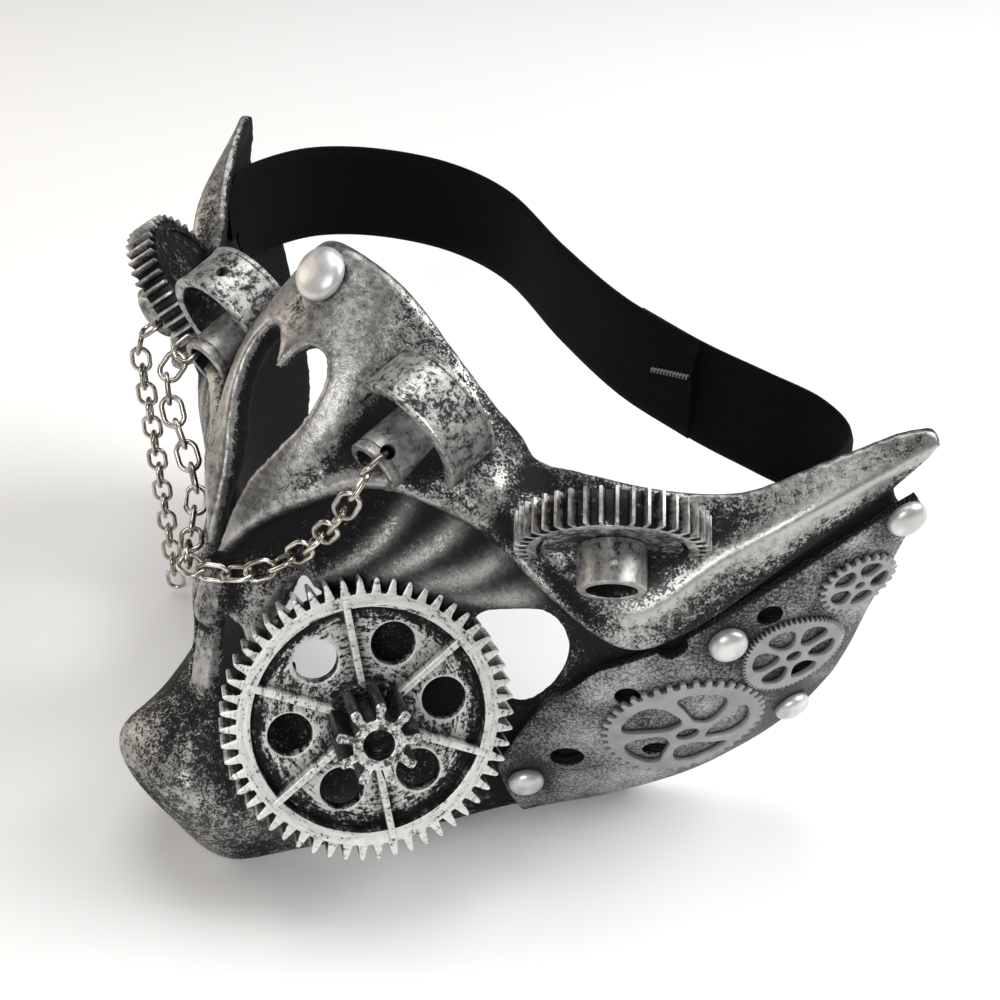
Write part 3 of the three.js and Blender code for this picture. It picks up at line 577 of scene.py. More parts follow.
# Darker and lighter colour of the other materials
PEWTER = ((0.27, 0.27, 0.274, 1), (0.35, 0.35, 0.354, 1))
# Painted shade of the pewter in its corners
PEWTER_CORNER = (0.015, 0.015, 0.015, 1)
HIDE = ((0.012, 0.012, 0.0125, 1), (0.6, 0.6, 0.61, 1))
PEARL = ((0.52, 0.51, 0.5, 1), (0.74, 0.73, 0.72, 1))
NICKEL = ((0.34, 0.31, 0.27, 1), (0.75, 0.71, 0.64, 1))
ELASTIC = ((0.0025, 0.0025, 0.003, 1), (0.008, 0.008, 0.0085, 1))
THREAD = ((0.16, 0.16, 0.165, 1), (0.34, 0.34, 0.345, 1))
FLOOR = ((0.9, 0.895, 0.885, 1), (0.94, 0.935, 0.93, 1))
# Spacing of the elastic's ribs and picks, in millimetres
RIB_SPACING = 0.9
PICK_SPACING = 0.7


def shell_finish():
    """Black plastic with silver sponged on, as `cover` says, and smooth painted highlights laid over it by a
    second attribute.
    """
    f = Finish("shell_paint", specular_ior_level=0.15)
    cover = f.attribute("cover")
    fine = f.noise(2300, 3, 0.7)
    grain = f.noise(700, 4, 0.7)
    streak = f.noise(240, 3, 0.6, (1.0, 1.0, 3.2))
    patch = f.noise(70, 3, 0.5)
    shade = f.math("SUBTRACT", 1.0, f.hollow(0.005))
    level = f.sum((cover, 1.0), (fine, 2.6), (grain, 1.4), (streak, 0.7), (patch, 1.2), (shade, -0.5),
                  (1.0, -2.95))
    paint = f.ramp(level, 0.24, 0.62)
    haze = f.ramp(level, -0.1, 0.6, 0, 0.2)
    # Painted highlight: smooth silver where the highlight attribute is high, a little broken by the fine
    # noise
    sprayed = f.math("MULTIPLY", f.attribute("glow"), f.ramp(fine, 0.25, 0.6, 0.6, 1.1))
    share = f.math("MAXIMUM", f.math("MAXIMUM", paint, haze), sprayed)
    tone = f.mix(f.ramp(f.sum((grain, 0.6), (patch, 0.4), (sprayed, 0.2)), 0.38, 0.64), DULL, SILVER)
    f.bump(f.sum((fine, 0.5), (grain, 0.5), (paint, 0.4)), 0.0003, 0.5)
    return f.set(base_color=f.mix(share, BLACK, tone), metallic=f.math("MULTIPLY", share, 0.85),
                 roughness=f.sum((grain, 0.25), (share, -0.45), (1.0, 0.66)))


def silver_finish(name, speckle, tones, sheen=0.7, brushed=False):
    """Silver paint over black: `cover` says how much of the black it hides, and painted shade keeps the
    corners black.
    """
    f = Finish(name, specular_ior_level=0.2)
    cover = f.attribute("cover")
    fine = f.noise(1500, 4, 0.7)
    grain = f.around() if brushed else f.noise(560, 4, 0.7, distortion=0.3)
    patch = f.noise(120, 2, 0.5)
    shade = f.math("SUBTRACT", 1.0, f.hollow(0.003))
    level = f.sum((cover, 1.0), (fine, speckle), (grain, speckle), (patch, 0.5), (shade, -0.6),
                  (1.0, -speckle - 0.25))
    paint = f.ramp(level, 0.26, 0.6)
    haze = f.ramp(level, 0.0, 0.6, 0, 0.2)
    share = f.math("MAXIMUM", paint, haze)
    tone = f.mix(f.ramp(grain, 0.35, 0.65), *tones)
    f.bump(f.sum((fine, 0.5), (grain, 0.5)), 0.00025, 0.45)
    return f.set(base_color=f.mix(share, BLACK, tone), metallic=f.math("MULTIPLY", share, sheen),
                 roughness=f.sum((grain, 0.22), (1.0, 0.24)))


def pewter_finish():
    f = Finish("pewter", specular_ior_level=0.35)
    fine = f.noise(2600, 3, 0.6)
    patch = f.noise(200, 3, 0.5)
    # Painted shade: darker and less metallic in corners
    open_air = f.hollow(0.0008)
    light = f.mix(f.ramp(patch, 0.3, 0.7), *PEWTER)
    f.bump(fine, 0.00008, 0.5)
    return f.set(base_color=f.mix(f.ramp(open_air, 0.2, 0.7), PEWTER_CORNER, light),
                 metallic=f.ramp(open_air, 0.3, 0.8, 0, 0.4), roughness=f.sum((fine, 0.2), (1.0, 0.38)))


def leather_finish():
    """Grained leather with silver brushed over the grain, darker where `cover` is low, and painted shade in
    its corners.
    """
    f = Finish("painted_leather", specular_ior_level=0.25)
    pebble = f.cells(2100, "SMOOTH_F1")
    fine = f.noise(3600, 3, 0.7)
    patch = f.noise(60, 3, 0.55)
    cover = f.attribute("cover")
    shade = f.math("SUBTRACT", 1.0, f.hollow(0.003))
    top = f.ramp(pebble, 0.75, 0.1)
    level = f.sum((top, 0.5), (fine, 1.0), (patch, 2.2), (cover, 1.0), (shade, -0.8))
    paint = f.ramp(level, 1.95, 3.2)
    f.bump(f.sum((top, 0.8), (fine, 0.4)), 0.0003, 0.9)
    return f.set(base_color=f.mix(paint, *HIDE),
                 metallic=f.math("MULTIPLY", paint, 0.7), roughness=f.sum((fine, 0.2), (1.0, 0.32)))


def pearl_finish():
    f = Finish("pearl_silver", specular_ior_level=0.5)
    fine = f.noise(700, 4, 0.6)
    patch = f.noise(260, 3, 0.5)
    f.bump(patch, 0.0003, 0.35)
    return f.set(base_color=f.mix(f.ramp(patch, 0.35, 0.65), *PEARL),
                 metallic=f.ramp(fine, 0.3, 0.7, 0.5, 0.75), roughness=f.sum((fine, 0.2), (1.0, 0.28)))


def nickel_finish():
    f = Finish("warm_nickel", metallic=1.0)
    fine = f.noise(900, 4, 0.6)
    patch = f.noise(300, 3, 0.5)
    f.bump(fine, 0.00005, 0.4)
    return f.set(base_color=f.mix(f.ramp(patch, 0.35, 0.7), *NICKEL),
                 roughness=f.sum((fine, 0.25), (1.0, 0.14)))


def elastic_finish():
    """Black woven elastic: fine ribs along the band and picks across it."""
    f = Finish("black_elastic", specular_ior_level=0.12)
    ribs = f.math("SINE", f.math("MULTIPLY", f.attribute("across"), 2 * math.pi / RIB_SPACING))
    picks = f.math("SINE", f.math("MULTIPLY", f.attribute("along"), 2 * math.pi / PICK_SPACING))
    weave = f.math("MULTIPLY", ribs, picks)
    fuzz = f.noise(2500, 4, 0.7)
    f.bump(f.sum((ribs, 0.5), (weave, 0.5), (fuzz, 0.4)), 0.00015, 0.5)
    tone = f.ramp(f.sum((weave, 0.3), (fuzz, 0.6)), 0.0, 0.9)
    return f.set(base_color=f.mix(tone, *ELASTIC),
                 roughness=f.sum((fuzz, 0.15), (1.0, 0.8)))


def thread_finish():
    f = Finish("grey_thread", specular_ior_level=0.2)
    fuzz = f.noise(3000, 3, 0.6)
    return f.set(base_color=f.mix(fuzz, *THREAD),
                 roughness=f.sum((fuzz, 0.2), (1.0, 0.7)))


# Pieces


def piece(name, shape, material, slot, node=None, angle=35.0, **attributes):
    """Makes an object of a shape, sets its attributes and hides the part that it stands for."""
    points, faces = shape
    mesh = bpy.data.meshes.new(name)
    mesh.from_pydata(((points + SHIFT) * MM).tolist(), [], faces)
    mesh.polygons.foreach_set("use_smooth", [True] * len(mesh.polygons))
    mesh.set_sharp_from_angle(angle=math.radians(angle))
    for key, values in attributes.items():
        layer = mesh.attributes.new(key, "FLOAT", "POINT")
        layer.data.foreach_set("value", np.asarray(values, np.float32))
    mesh.materials.append(material)
    mesh.update()
    obj = add_object(name, mesh)
    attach(obj, "root")
    if node:
        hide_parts(node)
    return obj


def pair(name, shape, material, slot, angle=35.0, **attributes):
    piece(f"{name}_left_skin", shape, material, slot, f"{name}_left", angle, **attributes)
    piece(f"{name}_right_skin", mirror(shape), material, slot, f"{name}_right", angle, **attributes)


def places(s_range, v_range, columns, rows):
    """The places of an even net on a surface, along it and across it."""
    s, v = np.meshgrid(np.linspace(*s_range, columns), np.linspace(*v_range, rows), indexing="ij")
    return s.ravel(), v.ravel()


def grid(surface, net, lift):
    """Points of a net laid over a surface, at a height or at the heights that a function gives."""
    s, v = places(*net)
    amount = lift(s, v) if callable(lift) else np.full(s.size, float(lift))
    return surface(s, v, amount).reshape(*net[2:], 3)


def slab(surface, net, high, low):
    return block(grid(surface, net, high), grid(surface, net, low))


def painted(surface, paint, net):
    """Points of a net with the paint at each."""
    return surface.reshape(-1, 3), np.stack(paint(*places(*net)), 1)


def bell(x, middle, width):
    return np.exp(-(((x - middle) / width) ** 2))


def rise(x, start, span):
    """0 up to the start, then up to 1 over the span; a negative span runs the other way."""
    return np.clip((x - start) / span, 0, 1)


def patches(table, s, v):
    """Sum of soft round patches: amount, place along and its width, place across and its width."""
    return sum(amount * bell(s, along_s, wide) * bell(v, across_v, high)
               for amount, along_s, wide, across_v, high in table)


def blend(amounts, **shares):
    """Amount of paint: the base and each other amount in its share."""
    return amounts["base"] + sum(amounts[key] * share for key, share in shares.items())


# Nets of the shell's blocks: range along, range across, columns and rows
PLATE_NET = ((-PLATE_END, PLATE_END), (0, 1), 131, 61)
ARM_NET = ((4, LAST), (0, 1), 121, 65)
FACE_NET = ((-LAST, LAST), (0, 4), 301, 141)

# Profile across the cheek arm: height, place and half width of the beads and groove of its front end and of
# the ridge behind it, and the depth of its rolled-in edge
ARM_BEADS = [(0.35, 0.05, 0.06), (-1.2, 0.2, 0.06), (0.35, 0.33, 0.07)]
ARM_RIDGE = (0.6, 0.5, 0.1)
ARM_ROLL = 1.4
# Depth of the nose plate's roll at its ends and at its edges
PLATE_ROLL = {"end": 1.5, "edge": 0.6, "width": 0.05}
# Bulges and hollows of the chin, and its smooth painted highlights
CHIN_FORM = [(0.9, 2.2, 0.5, 2.95, 0.4), (-1.5, 1.25, 0.5, 2.5, 0.35)]
CHIN_SHEEN = [(0.4, 2.5, 0.7, 3.4, 0.35), (0.25, 0.8, 0.5, 3.1, 0.5)]


def arm_lift(s, v):
    """Beads and groove of the arm's front, the ridge behind them and the rolled-in lower edge."""
    s = np.abs(s)
    end = rise(s, 7.0, -0.7)
    front = end * end * (3 - 2 * end)
    bead = front * sum(height * bell(v, middle, half) for height, middle, half in ARM_BEADS)
    height, middle, half = ARM_RIDGE
    ridge = height * bell(v, middle, half) * rise(s, 6.6, 0.5)
    return bead + ridge - ARM_ROLL * np.clip(1 - v / arm_roll(s), 0, 1) ** 2


def arm_roll(s):
    """Width of the rolled-in underside along the arm's lower edge, where shade is painted."""
    return np.interp(s, [6.4, 7.2, 8, 10], [0.02, 0.08, 0.17, 0.25])


def on_arm(s, v, lift):
    """Point of the arm, whose end is drawn in to a round tip."""
    close = rise(np.abs(s), 9.55, 0.45)
    return on_mantle(s, 0.5 + (v - 0.5) * np.sqrt(1 - 0.75 * close**2), lift)


def plate_lift(s, v):
    """Thickness of the nose plate, rolled off at its edges and ends."""
    end = rise(np.abs(s), 4.5, 0.4)
    low = np.clip(1 - v / PLATE_ROLL["width"], 0, 1)
    top = rise(v, 0.95, PLATE_ROLL["width"])
    return PLATE_LIFT - PLATE_ROLL["end"] * end**2 - PLATE_ROLL["edge"] * low**2 - PLATE_ROLL["edge"] * top**2


def lower_lift(s, w):
    """Ribs, hollows beside the lip and the bulge of the chin's corners."""
    return patches(CHIN_FORM, np.abs(s), w) + rib_height(s, w)


# Outlines of the openings in frames of their own: half of the heart, two beside the mouth, one at the side
HEART = [
    (0, 34.4), (0.9, 35.9), (2.6, 39.4), (5.2, 40.6), (7.9, 39.2), (8.9, 36), (8.8, 31.5),
    (7.3, 26), (4.5, 20), (2.6, 16), (1.6, 11), (1, 6), (0.7, -4),
]
HEART_WIDEST = 5
MOUTH_INNER = [(2.8, -12), (5.8, -11), (7.4, -15), (7.2, -22), (6, -26), (2.7, -26)]
MOUTH_OUTER = [(10.6, -9), (12.5, -2), (15, -4), (17.5, -8), (18.5, -16), (17, -25), (13, -27), (11.4, -20)]
SIDE_OPENING = [
    (-7.2, 10.1), (-1.7, 11.8), (2.6, 11.7), (5.7, 8.5), (6.8, 2.7), (4.6, -5.5),
    (0.1, -12.2), (-3.5, -13.1), (-8.5, -9), (-11, -1), (-10, 6.5),
]
# Frames that the openings are drawn in, and how far in and out each is cut
RIDGE = frame_at((0, 0, 0), (0, -0.84, 0.543), (0, 0.543, 0.84))
FRONT = frame_at((0, 0, 0), (0, -1, 0), UP)
SIDE = frame_at((45, 31, -16), (0.55, -0.83, 0), UP)
CUTS = {"heart": (-9, 12), "mouth": (-30, 30), "side": (-12, 14)}
# Ribs under the nose plate: start and end on the lower face, height and half width
RIBS = [
    ((2.05, 0.86), (3.5, 0.16), 2.4, 2.0),
    ((2.8, 0.92), (4.4, 0.1), 2.8, 2.1),
    ((3.5, 0.94), (5.1, 0.18), 2.8, 2.1),
    ((4.15, 0.92), (5.65, 0.22), 2.4, 2.0),
]
# Millimetres for one step of the lower face's two directions, near the ribs
RIB_SCALE = np.array([9.5, 20.0])
# How far a rib sags sideways, and the share of its height at its ends
RIB_SAG = 1.6
RIB_ENDS = 0.25
# Lapped plates below the nose: half width, upper and lower end on the middle plane, thickness, and how far
# above its lower end each is lapped
LIP_PLATES = [
    (2.9, (-0.6, -1), (-6.1, -12.5), 3.2, 12.6),
    (2.5, (-3.4, -9), (-8.9, -28), 3.2, 15.4),
]
VOXEL = 0.72
TRIANGLE_LIMIT = 180000
SMOOTHING = {"rounds": 12, "pull": 0.5, "push": -0.52, "soften": 5}
# The heart's rim is smoothed more: rounds, width, and its reach up the ridge and in depth
RIM = {"rounds": 12, "width": 2.0, "low": 2, "high": 36, "deep": 9}
# Depth of the turned-in edge of the heart opening, and how far from the opening it fades
COLLAR = {"depth": 3.4, "fade": 4.0}

# Amounts of speckled paint, from 0 for black to about 0.8 for silver
# On the nose plate the low edge amount is a painted highlight, and the amount under a half ring is its
# painted shadow
PLATE_PAINT = {
    "base": 0.5, "by_heart": 0.3, "low_edge": 0.1, "top_edge": -0.5, "worn": -0.2, "end": -0.3,
    "under_ring": -0.9,
}
# On the arm the ridge amount is a painted highlight, the under amount painted shade along the rolled-in
# underside, and the amount that fades out from the cheek gear's axis a painted shadow under the gear
ARM_PAINT = {
    "base": 0.5, "behind": -0.5, "ridge": 0.2, "face": 0.15, "under": -0.9, "tray": -0.14, "wash": -0.4,
}
LOWER_PAINT = {"base": -0.1, "chin": 0.18, "brow": 0.2, "ribs": 0.08, "wall": -0.35}
# The lap amount of the lip plates is painted shade under the plate above
LIP_PAINT = {"base": 0.2, "sides": -0.9, "lap": -0.9}
# Amounts of smooth painted highlight on the plate's lower edge, the arm's ridge and the ribs, and the most it
# may reach
SHEEN = {"plate_edge": 0.5, "arm_ridge": 0.75, "ribs": 0.36, "most": 0.95}
# Paint that ridges gain and hollows lose: rounds of averaging, gain, least and most
RELIEF = [(6, 1.2, -0.5, 0.3), (60, 0.3, -0.25, 0.35)]
# Distance from the outside at which the paint ends, and how much it drops by
INSIDE = {"distance": 0.9, "drop": 1.6}


def rib_height(s, w, narrow=1.0):
    """Sum of the ribs' heights at places on the lower face."""
    at = np.stack([np.abs(s), w], 1) * RIB_SCALE
    total = np.zeros(len(at))
    for start, end, height, half in RIBS:
        first, run = np.array(start) * RIB_SCALE, (np.array(end) - start) * RIB_SCALE
        t = np.clip((at - first) @ run / (run @ run), 0, 1)
        sag = RIB_SAG * np.sin(math.pi * t)[:, None] * np.array([-run[1], run[0]]) / np.linalg.norm(run)
        away = np.linalg.norm(at - first - t[:, None] * run - sag, axis=1)
        profile = height * np.exp(-((away / (half * narrow)) ** 2))
        total += profile * (RIB_ENDS + (1 - RIB_ENDS) * np.sin(math.pi * t) ** 0.8)
    return total


def lip_plate(half, top, end, thick, lap):
    """One lapped plate, and its paint: black at its sides, and black as painted shade under the plate above.
    """
    origin = np.array([0, end[0], end[1]])
    up = np.array([0, top[0] - end[0], top[1] - end[1]])
    length = np.linalg.norm(up)
    corner, tip, tip_half = 2.4, 0.4, 0.55 * half
    ring = [
        (-half, corner), (-tip_half, tip), (tip_half, tip), (half, corner), (half, length), (-half, length),
    ]
    fine = sliced(prism(np.array(ring), -thick, 0), 1.0)
    _, height, depth = fine[0].T
    cover = blend(LIP_PAINT, sides=depth < -thick / 2, lap=bell(height, lap, 1.2))
    shape = placed(fine, frame_at(origin, np.cross((1, 0, 0), up), up))
    return shape, np.stack([cover, np.zeros_like(cover)], 1)


def heart_edge(points):
    """Distance of each point from the heart's outline, sideways, its height up the ridge and its depth."""
    across, height, depth = local_points(RIDGE, points).T
    half = np.interp(height, *np.array(sorted((h, x) for x, h in HEART[HEART_WIDEST:])).T)
    return np.abs(np.abs(across) - half), height, depth


def collar_lift(s, v):
    """Depth of the plate's inner side: deeper round the heart opening."""
    away, height, _ = heart_edge(mantle(s, v))
    near = np.clip(1 - away / COLLAR["fade"], 0, 1)
    upper = rise(height, 8, 12) * rise(height, 46, -4)
    return -PLATE_WALL - COLLAR["depth"] * near * upper


def under_ring(s, v):
    """Where a half ring's shadow is painted: 1 on the plate under a half ring and round its tube, 0 away from
    them.
    """
    across, _, ahead = local_points(ring_frame(0, 0), mantle(np.abs(s), v)).T
    over = rise(np.abs(across), RING["inner"] + 0.5, -2)
    return over * rise(ahead, 6, -4) * rise(ahead, -RING["length"], 2)


def plate_cover(s, v):
    """Speckled paint, darkened by a painted shadow under the half rings, and a smooth painted highlight along
    the nose plate's lower edge.
    """
    hidden = under_ring(s, v)
    by_heart = np.clip(1 - heart_edge(mantle(s, v))[0] / 7, 0, 1)
    s = np.abs(s)
    speckled = blend(
        PLATE_PAINT,
        by_heart=by_heart,
        low_edge=bell(v, 0.02, 0.05),
        top_edge=rise(v, 0.84, 0.1) * rise(s, 1.0, 0.6),
        worn=bell(s, 2.6, 0.8) * bell(v, 0.35, 0.2),
        end=rise(s, 3.5, 0.8),
        under_ring=hidden,
    )
    return speckled, SHEEN["plate_edge"] * bell(v, 0.04, 0.05) * (1 - hidden)


def arm_cover(s, v):
    """Speckled paint, with painted shade under the cheek gear and along the underside, and a smooth painted
    highlight along the cheek arm's ridge.
    """
    s = np.abs(s)
    x, y, _ = local_points(CHEEK_PLACE, on_arm(s, v, 0.0)).T
    speckled = blend(
        ARM_PAINT,
        behind=rise(s, 5.6, -0.5),
        ridge=bell(v, 0.5, 0.09),
        face=bell(v, 0.38, 0.1),
        under=np.clip((arm_roll(s) - v) / 0.2 + 0.5, 0, 1),
        tray=rise(v, 0.58, 0.1),
        # painted shadow under the cheek gear, fading out from its axis
        wash=rise(np.hypot(x, y), 13, -4),
    )
    return speckled, SHEEN["arm_ridge"] * bell(v, 0.5, 0.1) * rise(s, 6.4, 0.5)


def lower_cover(s, w):
    """Speckled paint and smooth painted highlights on the lower face."""
    side = np.abs(s)
    ribs = rib_height(s, w, 0.62)
    speckled = blend(
        LOWER_PAINT,
        chin=rise(side, 2.8, -0.8) * rise(w, 2.1, 0.4),
        brow=bell(w, 0.9, 0.7) * rise(side, 3.2, -1.0),
        ribs=ribs,
        wall=rise(side, 4.3, 0.6),
    )
    return speckled, np.clip(SHEEN["ribs"] * ribs + patches(CHIN_SHEEN, side, w), 0, SHEEN["most"])


def shell_parts():
    """The shell's overlapping blocks, with its openings cut, and samples of its outside with their paint."""
    plate_outer = grid(on_mantle, PLATE_NET, plate_lift)
    plate_inner = grid(on_mantle, PLATE_NET, collar_lift)
    arm_outer = grid(on_arm, ARM_NET, arm_lift)
    arm_inner = grid(on_arm, ARM_NET, -WALL)
    low_outer = grid(on_lower, FACE_NET, lower_lift)
    low_inner = grid(on_lower, FACE_NET, -WALL)
    for part in (low_outer, low_inner):
        part[..., 2] = np.maximum(part[..., 2], TABLE)
    half = spline(HEART, np.linspace(0, 1, 56))
    heart = placed(prism(np.concatenate([half, half[:0:-1] * (-1, 1)]), *CUTS["heart"]), RIDGE)
    openings = [
        placed(prism(rounded(MOUTH_INNER, 28), *CUTS["mouth"]), FRONT),
        placed(prism(rounded(MOUTH_OUTER, 36), *CUTS["mouth"]), FRONT),
        placed(prism(rounded(SIDE_OPENING, 44), *CUTS["side"]), SIDE),
    ]
    nose = cut(block(plate_outer, plate_inner), [heart])
    face = cut(block(low_outer, low_inner), openings + [mirror(shape) for shape in openings])
    arm = block(arm_outer, arm_inner)
    lips = [lip_plate(*row) for row in LIP_PLATES]
    parts = [nose, face, arm, mirror(arm), *[shape for shape, _ in lips]]
    samples = [
        painted(plate_outer, plate_cover, PLATE_NET),
        painted(arm_outer, arm_cover, ARM_NET),
        painted(flip(arm_outer), arm_cover, ARM_NET),
        painted(low_outer, lower_cover, FACE_NET),
    ]
    samples += [(shape[0], cover) for shape, cover in lips]
    return parts, samples


def neighbour_mean(points, edges, rounds):
    count = np.bincount(edges.ravel(), minlength=len(points))[:, None]
    for _ in range(rounds):
        total = np.zeros_like(points)
        for axis in range(points.shape[1]):
            total[:, axis] = np.bincount(edges[:, 0], points[edges[:, 1], axis], len(points))
            total[:, axis] += np.bincount(edges[:, 1], points[edges[:, 0], axis], len(points))
        points = total / np.maximum(count, 1)
    return points


def edges_and_normals(shape):
    mesh = bpy.data.meshes.new("measure")
    mesh.from_pydata(shape[0].tolist(), [], shape[1])
    edges = np.zeros(len(mesh.edges) * 2, int)
    mesh.edges.foreach_get("vertices", edges)
    out = np.zeros(len(shape[0]) * 3)
    mesh.vertices.foreach_get("normal", out)
    bpy.data.meshes.remove(mesh)
    return edges.reshape(-1, 2), out.reshape(-1, 3)


def smoothed(shape):
    """Shape without the voxels' ripples: its points are pulled in and pushed out, then its edges rounded."""
    edges, _ = edges_and_normals(shape)
    points = shape[0]

    def pulled(share):
        return points + share * (neighbour_mean(points, edges, 1) - points)

    for _ in range(SMOOTHING["rounds"]):
        points = pulled(SMOOTHING["pull"])
        points = pulled(SMOOTHING["push"])
    for _ in range(SMOOTHING["soften"]):
        points = pulled(SMOOTHING["pull"])
    away, height, depth = heart_edge(points)
    rim = np.clip(1 - away / RIM["width"], 0, 1)
    rim *= (height > RIM["low"]) * (height < RIM["high"]) * (np.abs(depth) < RIM["deep"])
    for _ in range(RIM["rounds"]):
        points = pulled(SMOOTHING["pull"] * rim[:, None])
    return points, shape[1]


def shell_cover(shape, samples):
    """Speckled paint and smooth painted highlight at each point: more on the outside and on ridges, none
    inside.
    """
    points, _ = shape
    edges, out = edges_and_normals(shape)
    form = 0.0
    for rounds, gain, least, most in RELIEF:
        height = np.einsum("ij,ij->i", out, points - neighbour_mean(points, edges, rounds))
        form = form + np.clip(gain * height, least, most)
    tree = tree_of(np.concatenate([group for group, _ in samples]))
    base = np.concatenate([amount for _, amount in samples])
    found = [tree.find(p)[1:] for p in points]
    index = np.array([k for k, _ in found])
    inside = np.clip(np.array([distance for _, distance in found]) - INSIDE["distance"], 0, 1)
    paint = np.stack([base[index, 0] - INSIDE["drop"] * inside + form, base[index, 1] * (1 - inside)], 1)
    return neighbour_mean(paint, edges, 2).T


def make_shell():
    parts, samples = shell_parts()
    shape = smoothed(modified(join(parts), "REMESH", mode="VOXEL", voxel_size=VOXEL))
    triangles = sum(len(face) - 2 for face in shape[1])
    shape = modified(shape, "DECIMATE", ratio=min(1.0, TRIANGLE_LIMIT / triangles))
    shape[0][:, 2] = np.maximum(shape[0][:, 2], TABLE)
    cover, glow = shell_cover(shape, samples)
    piece("mask_shell_skin", shape, shell_finish(), "shell", "mask_shell", 60.0, cover=cover, glow=glow)


def seats():
    """Blocks with the shell's outer surfaces, deep, to trim what stands on them."""
    clear = 0.1
    deep = -9.0
    plate_seat = slab(on_mantle, ((0, PLATE_END), (0, 1), 41, 21), PLATE_LIFT + clear, deep)
    arm_seat = slab(on_mantle, ((4, LAST), (0, 1), 49, 21), clear, deep)
    low_seat = slab(on_lower, ((0, LAST), (0, 4), 61, 41), clear, deep)
    return plate_seat, arm_seat, low_seat


def largest(shape):
    """The largest of a shape's loose bodies."""
    bm = to_bmesh(shape)
    seen = set()
    groups = []
    for start in bm.verts:
        if start in seen:
            continue
        group, queue = [], [start]
        seen.add(start)
        while queue:
            vert = queue.pop()
            group.append(vert)
            for edge in vert.link_edges:
                other = edge.other_vert(vert)
                if other not in seen:
                    seen.add(other)
                    queue.append(other)
        groups.append(group)
    keep = set(max(groups, key=len))
    bmesh.ops.delete(bm, geom=[v for v in bm.verts if v not in keep], context="VERTS")
    return from_bmesh(bm)


def dome(radius, height, origin, out):
    angle = np.linspace(0, math.pi / 2, 12)
    rim = 0.28 * height
    curve = [(radius * math.cos(a) ** 0.9, rim + (height - rim) * math.sin(a)) for a in angle[:-1]]
    profile = [(0, 0), (radius * 0.94, 0), (radius, rim * 0.4), *curve, (0, height)]
    return placed(lathe(profile, 40), frame_at(origin, out, (0, 0.01, 1)))


RIVET_LIFT = 0.1
NOSE_RIVET = {"v": 0.88, "radius": 4.7, "height": 3.0}


def make_nose_rivet(material):
    origin = on_mantle(0, NOSE_RIVET["v"], PLATE_LIFT + RIVET_LIFT)[0]
    shape = dome(NOSE_RIVET["radius"], NOSE_RIVET["height"], origin, mantle_normal(0, NOSE_RIVET["v"]))
    piece("nose_rivet_skin", shape, material, "pearl", "nose_rivet", 50.0)


RING = {
    "outer": 11.0, "inner": 9.2, "leg": 8.0, "length": 10.0, "bead": 0.25, "bead_width": 0.7, "drill": 1.2,
    "drill_side": 0.72, "drill_back": 0.45,
}
RING_FRONT = np.array([24.4, 22.6, 25.1])
RING_AXIS = np.array([-0.03, -0.959, -0.283])
RING_OUT = np.array([0.612, -0.242, 0.755])
TUBE = {
    "radius": 4.9, "wall": 1.3, "length": 13.0, "raise": -3.2, "slide": 6.4, "hole": 1.25, "hole_back": 2.4,
}
RING_COVER = 0.56
TUBE_COVER = 0.8


def ring_frame(slide, lift):
    return frame_at(RING_FRONT + RING_AXIS * slide + RING_OUT * lift, RING_AXIS, RING_OUT)


def arch(outer, inner, leg, steps=28):
    angle = np.linspace(0, math.pi, steps)
    over = np.stack([outer * np.cos(angle), outer * np.sin(angle)], 1)
    under = np.stack([inner * np.cos(angle), inner * np.sin(angle)], 1)[::-1]
    return np.concatenate([[(outer, -leg)], over, [(-outer, -leg), (-inner, -leg)], under, [(inner, -leg)]])


def ring_cover(points):
    """Silver, and black on the inner side, for the ring on the wearer's left."""
    x, y, _ = local_points(ring_frame(0, 0), points).T
    radius = np.where(y > 0, np.hypot(x, y), np.abs(x))
    return np.where(radius < RING["inner"] + 0.15, 0.0, RING_COVER)


def make_rings(material, plate_seat):
    outer, inner, leg, length = (RING[key] for key in ("outer", "inner", "leg", "length"))
    place = ring_frame(0, 0)
    band = plate([arch(outer, inner, leg)], -length, 0, 0.25)
    beads = [
        plate([arch(outer + RING["bead"], inner + 0.3, leg)], low, high, 0.2)
        for low, high in ((-RING["bead_width"], 0.1), (-length + 0.4, -length + 1.1))
    ]
    whole = cut(placed(band, place), [placed(bead, place) for bead in beads], "UNION")
    ring = largest(cut(whole, [plate_seat]))
    piece("half_ring_left_skin", ring, material, "silver", "half_ring_left", cover=ring_cover(ring[0]))
    side = outer * RING["drill_side"]
    drill_at = point_in(place, -side, side, -length * RING["drill_back"])
    drill_out = np.array([-1.0, 1.0, 0]) @ place[0]
    drill = round_cutter(RING["drill"], 20, (-3, 3), frame_at(drill_at, drill_out, place[0][2]))
    far = mirror(cut(ring, [drill]))
    cover = ring_cover(flip(far[0]))
    piece("half_ring_right_skin", far, material, "silver", "half_ring_right", cover=cover)


def in_bore(x, y, bore):
    """1 inside a bore, 0 outside it."""
    return np.clip((bore + 0.25 - np.hypot(x, y)) * 5, 0, 1)


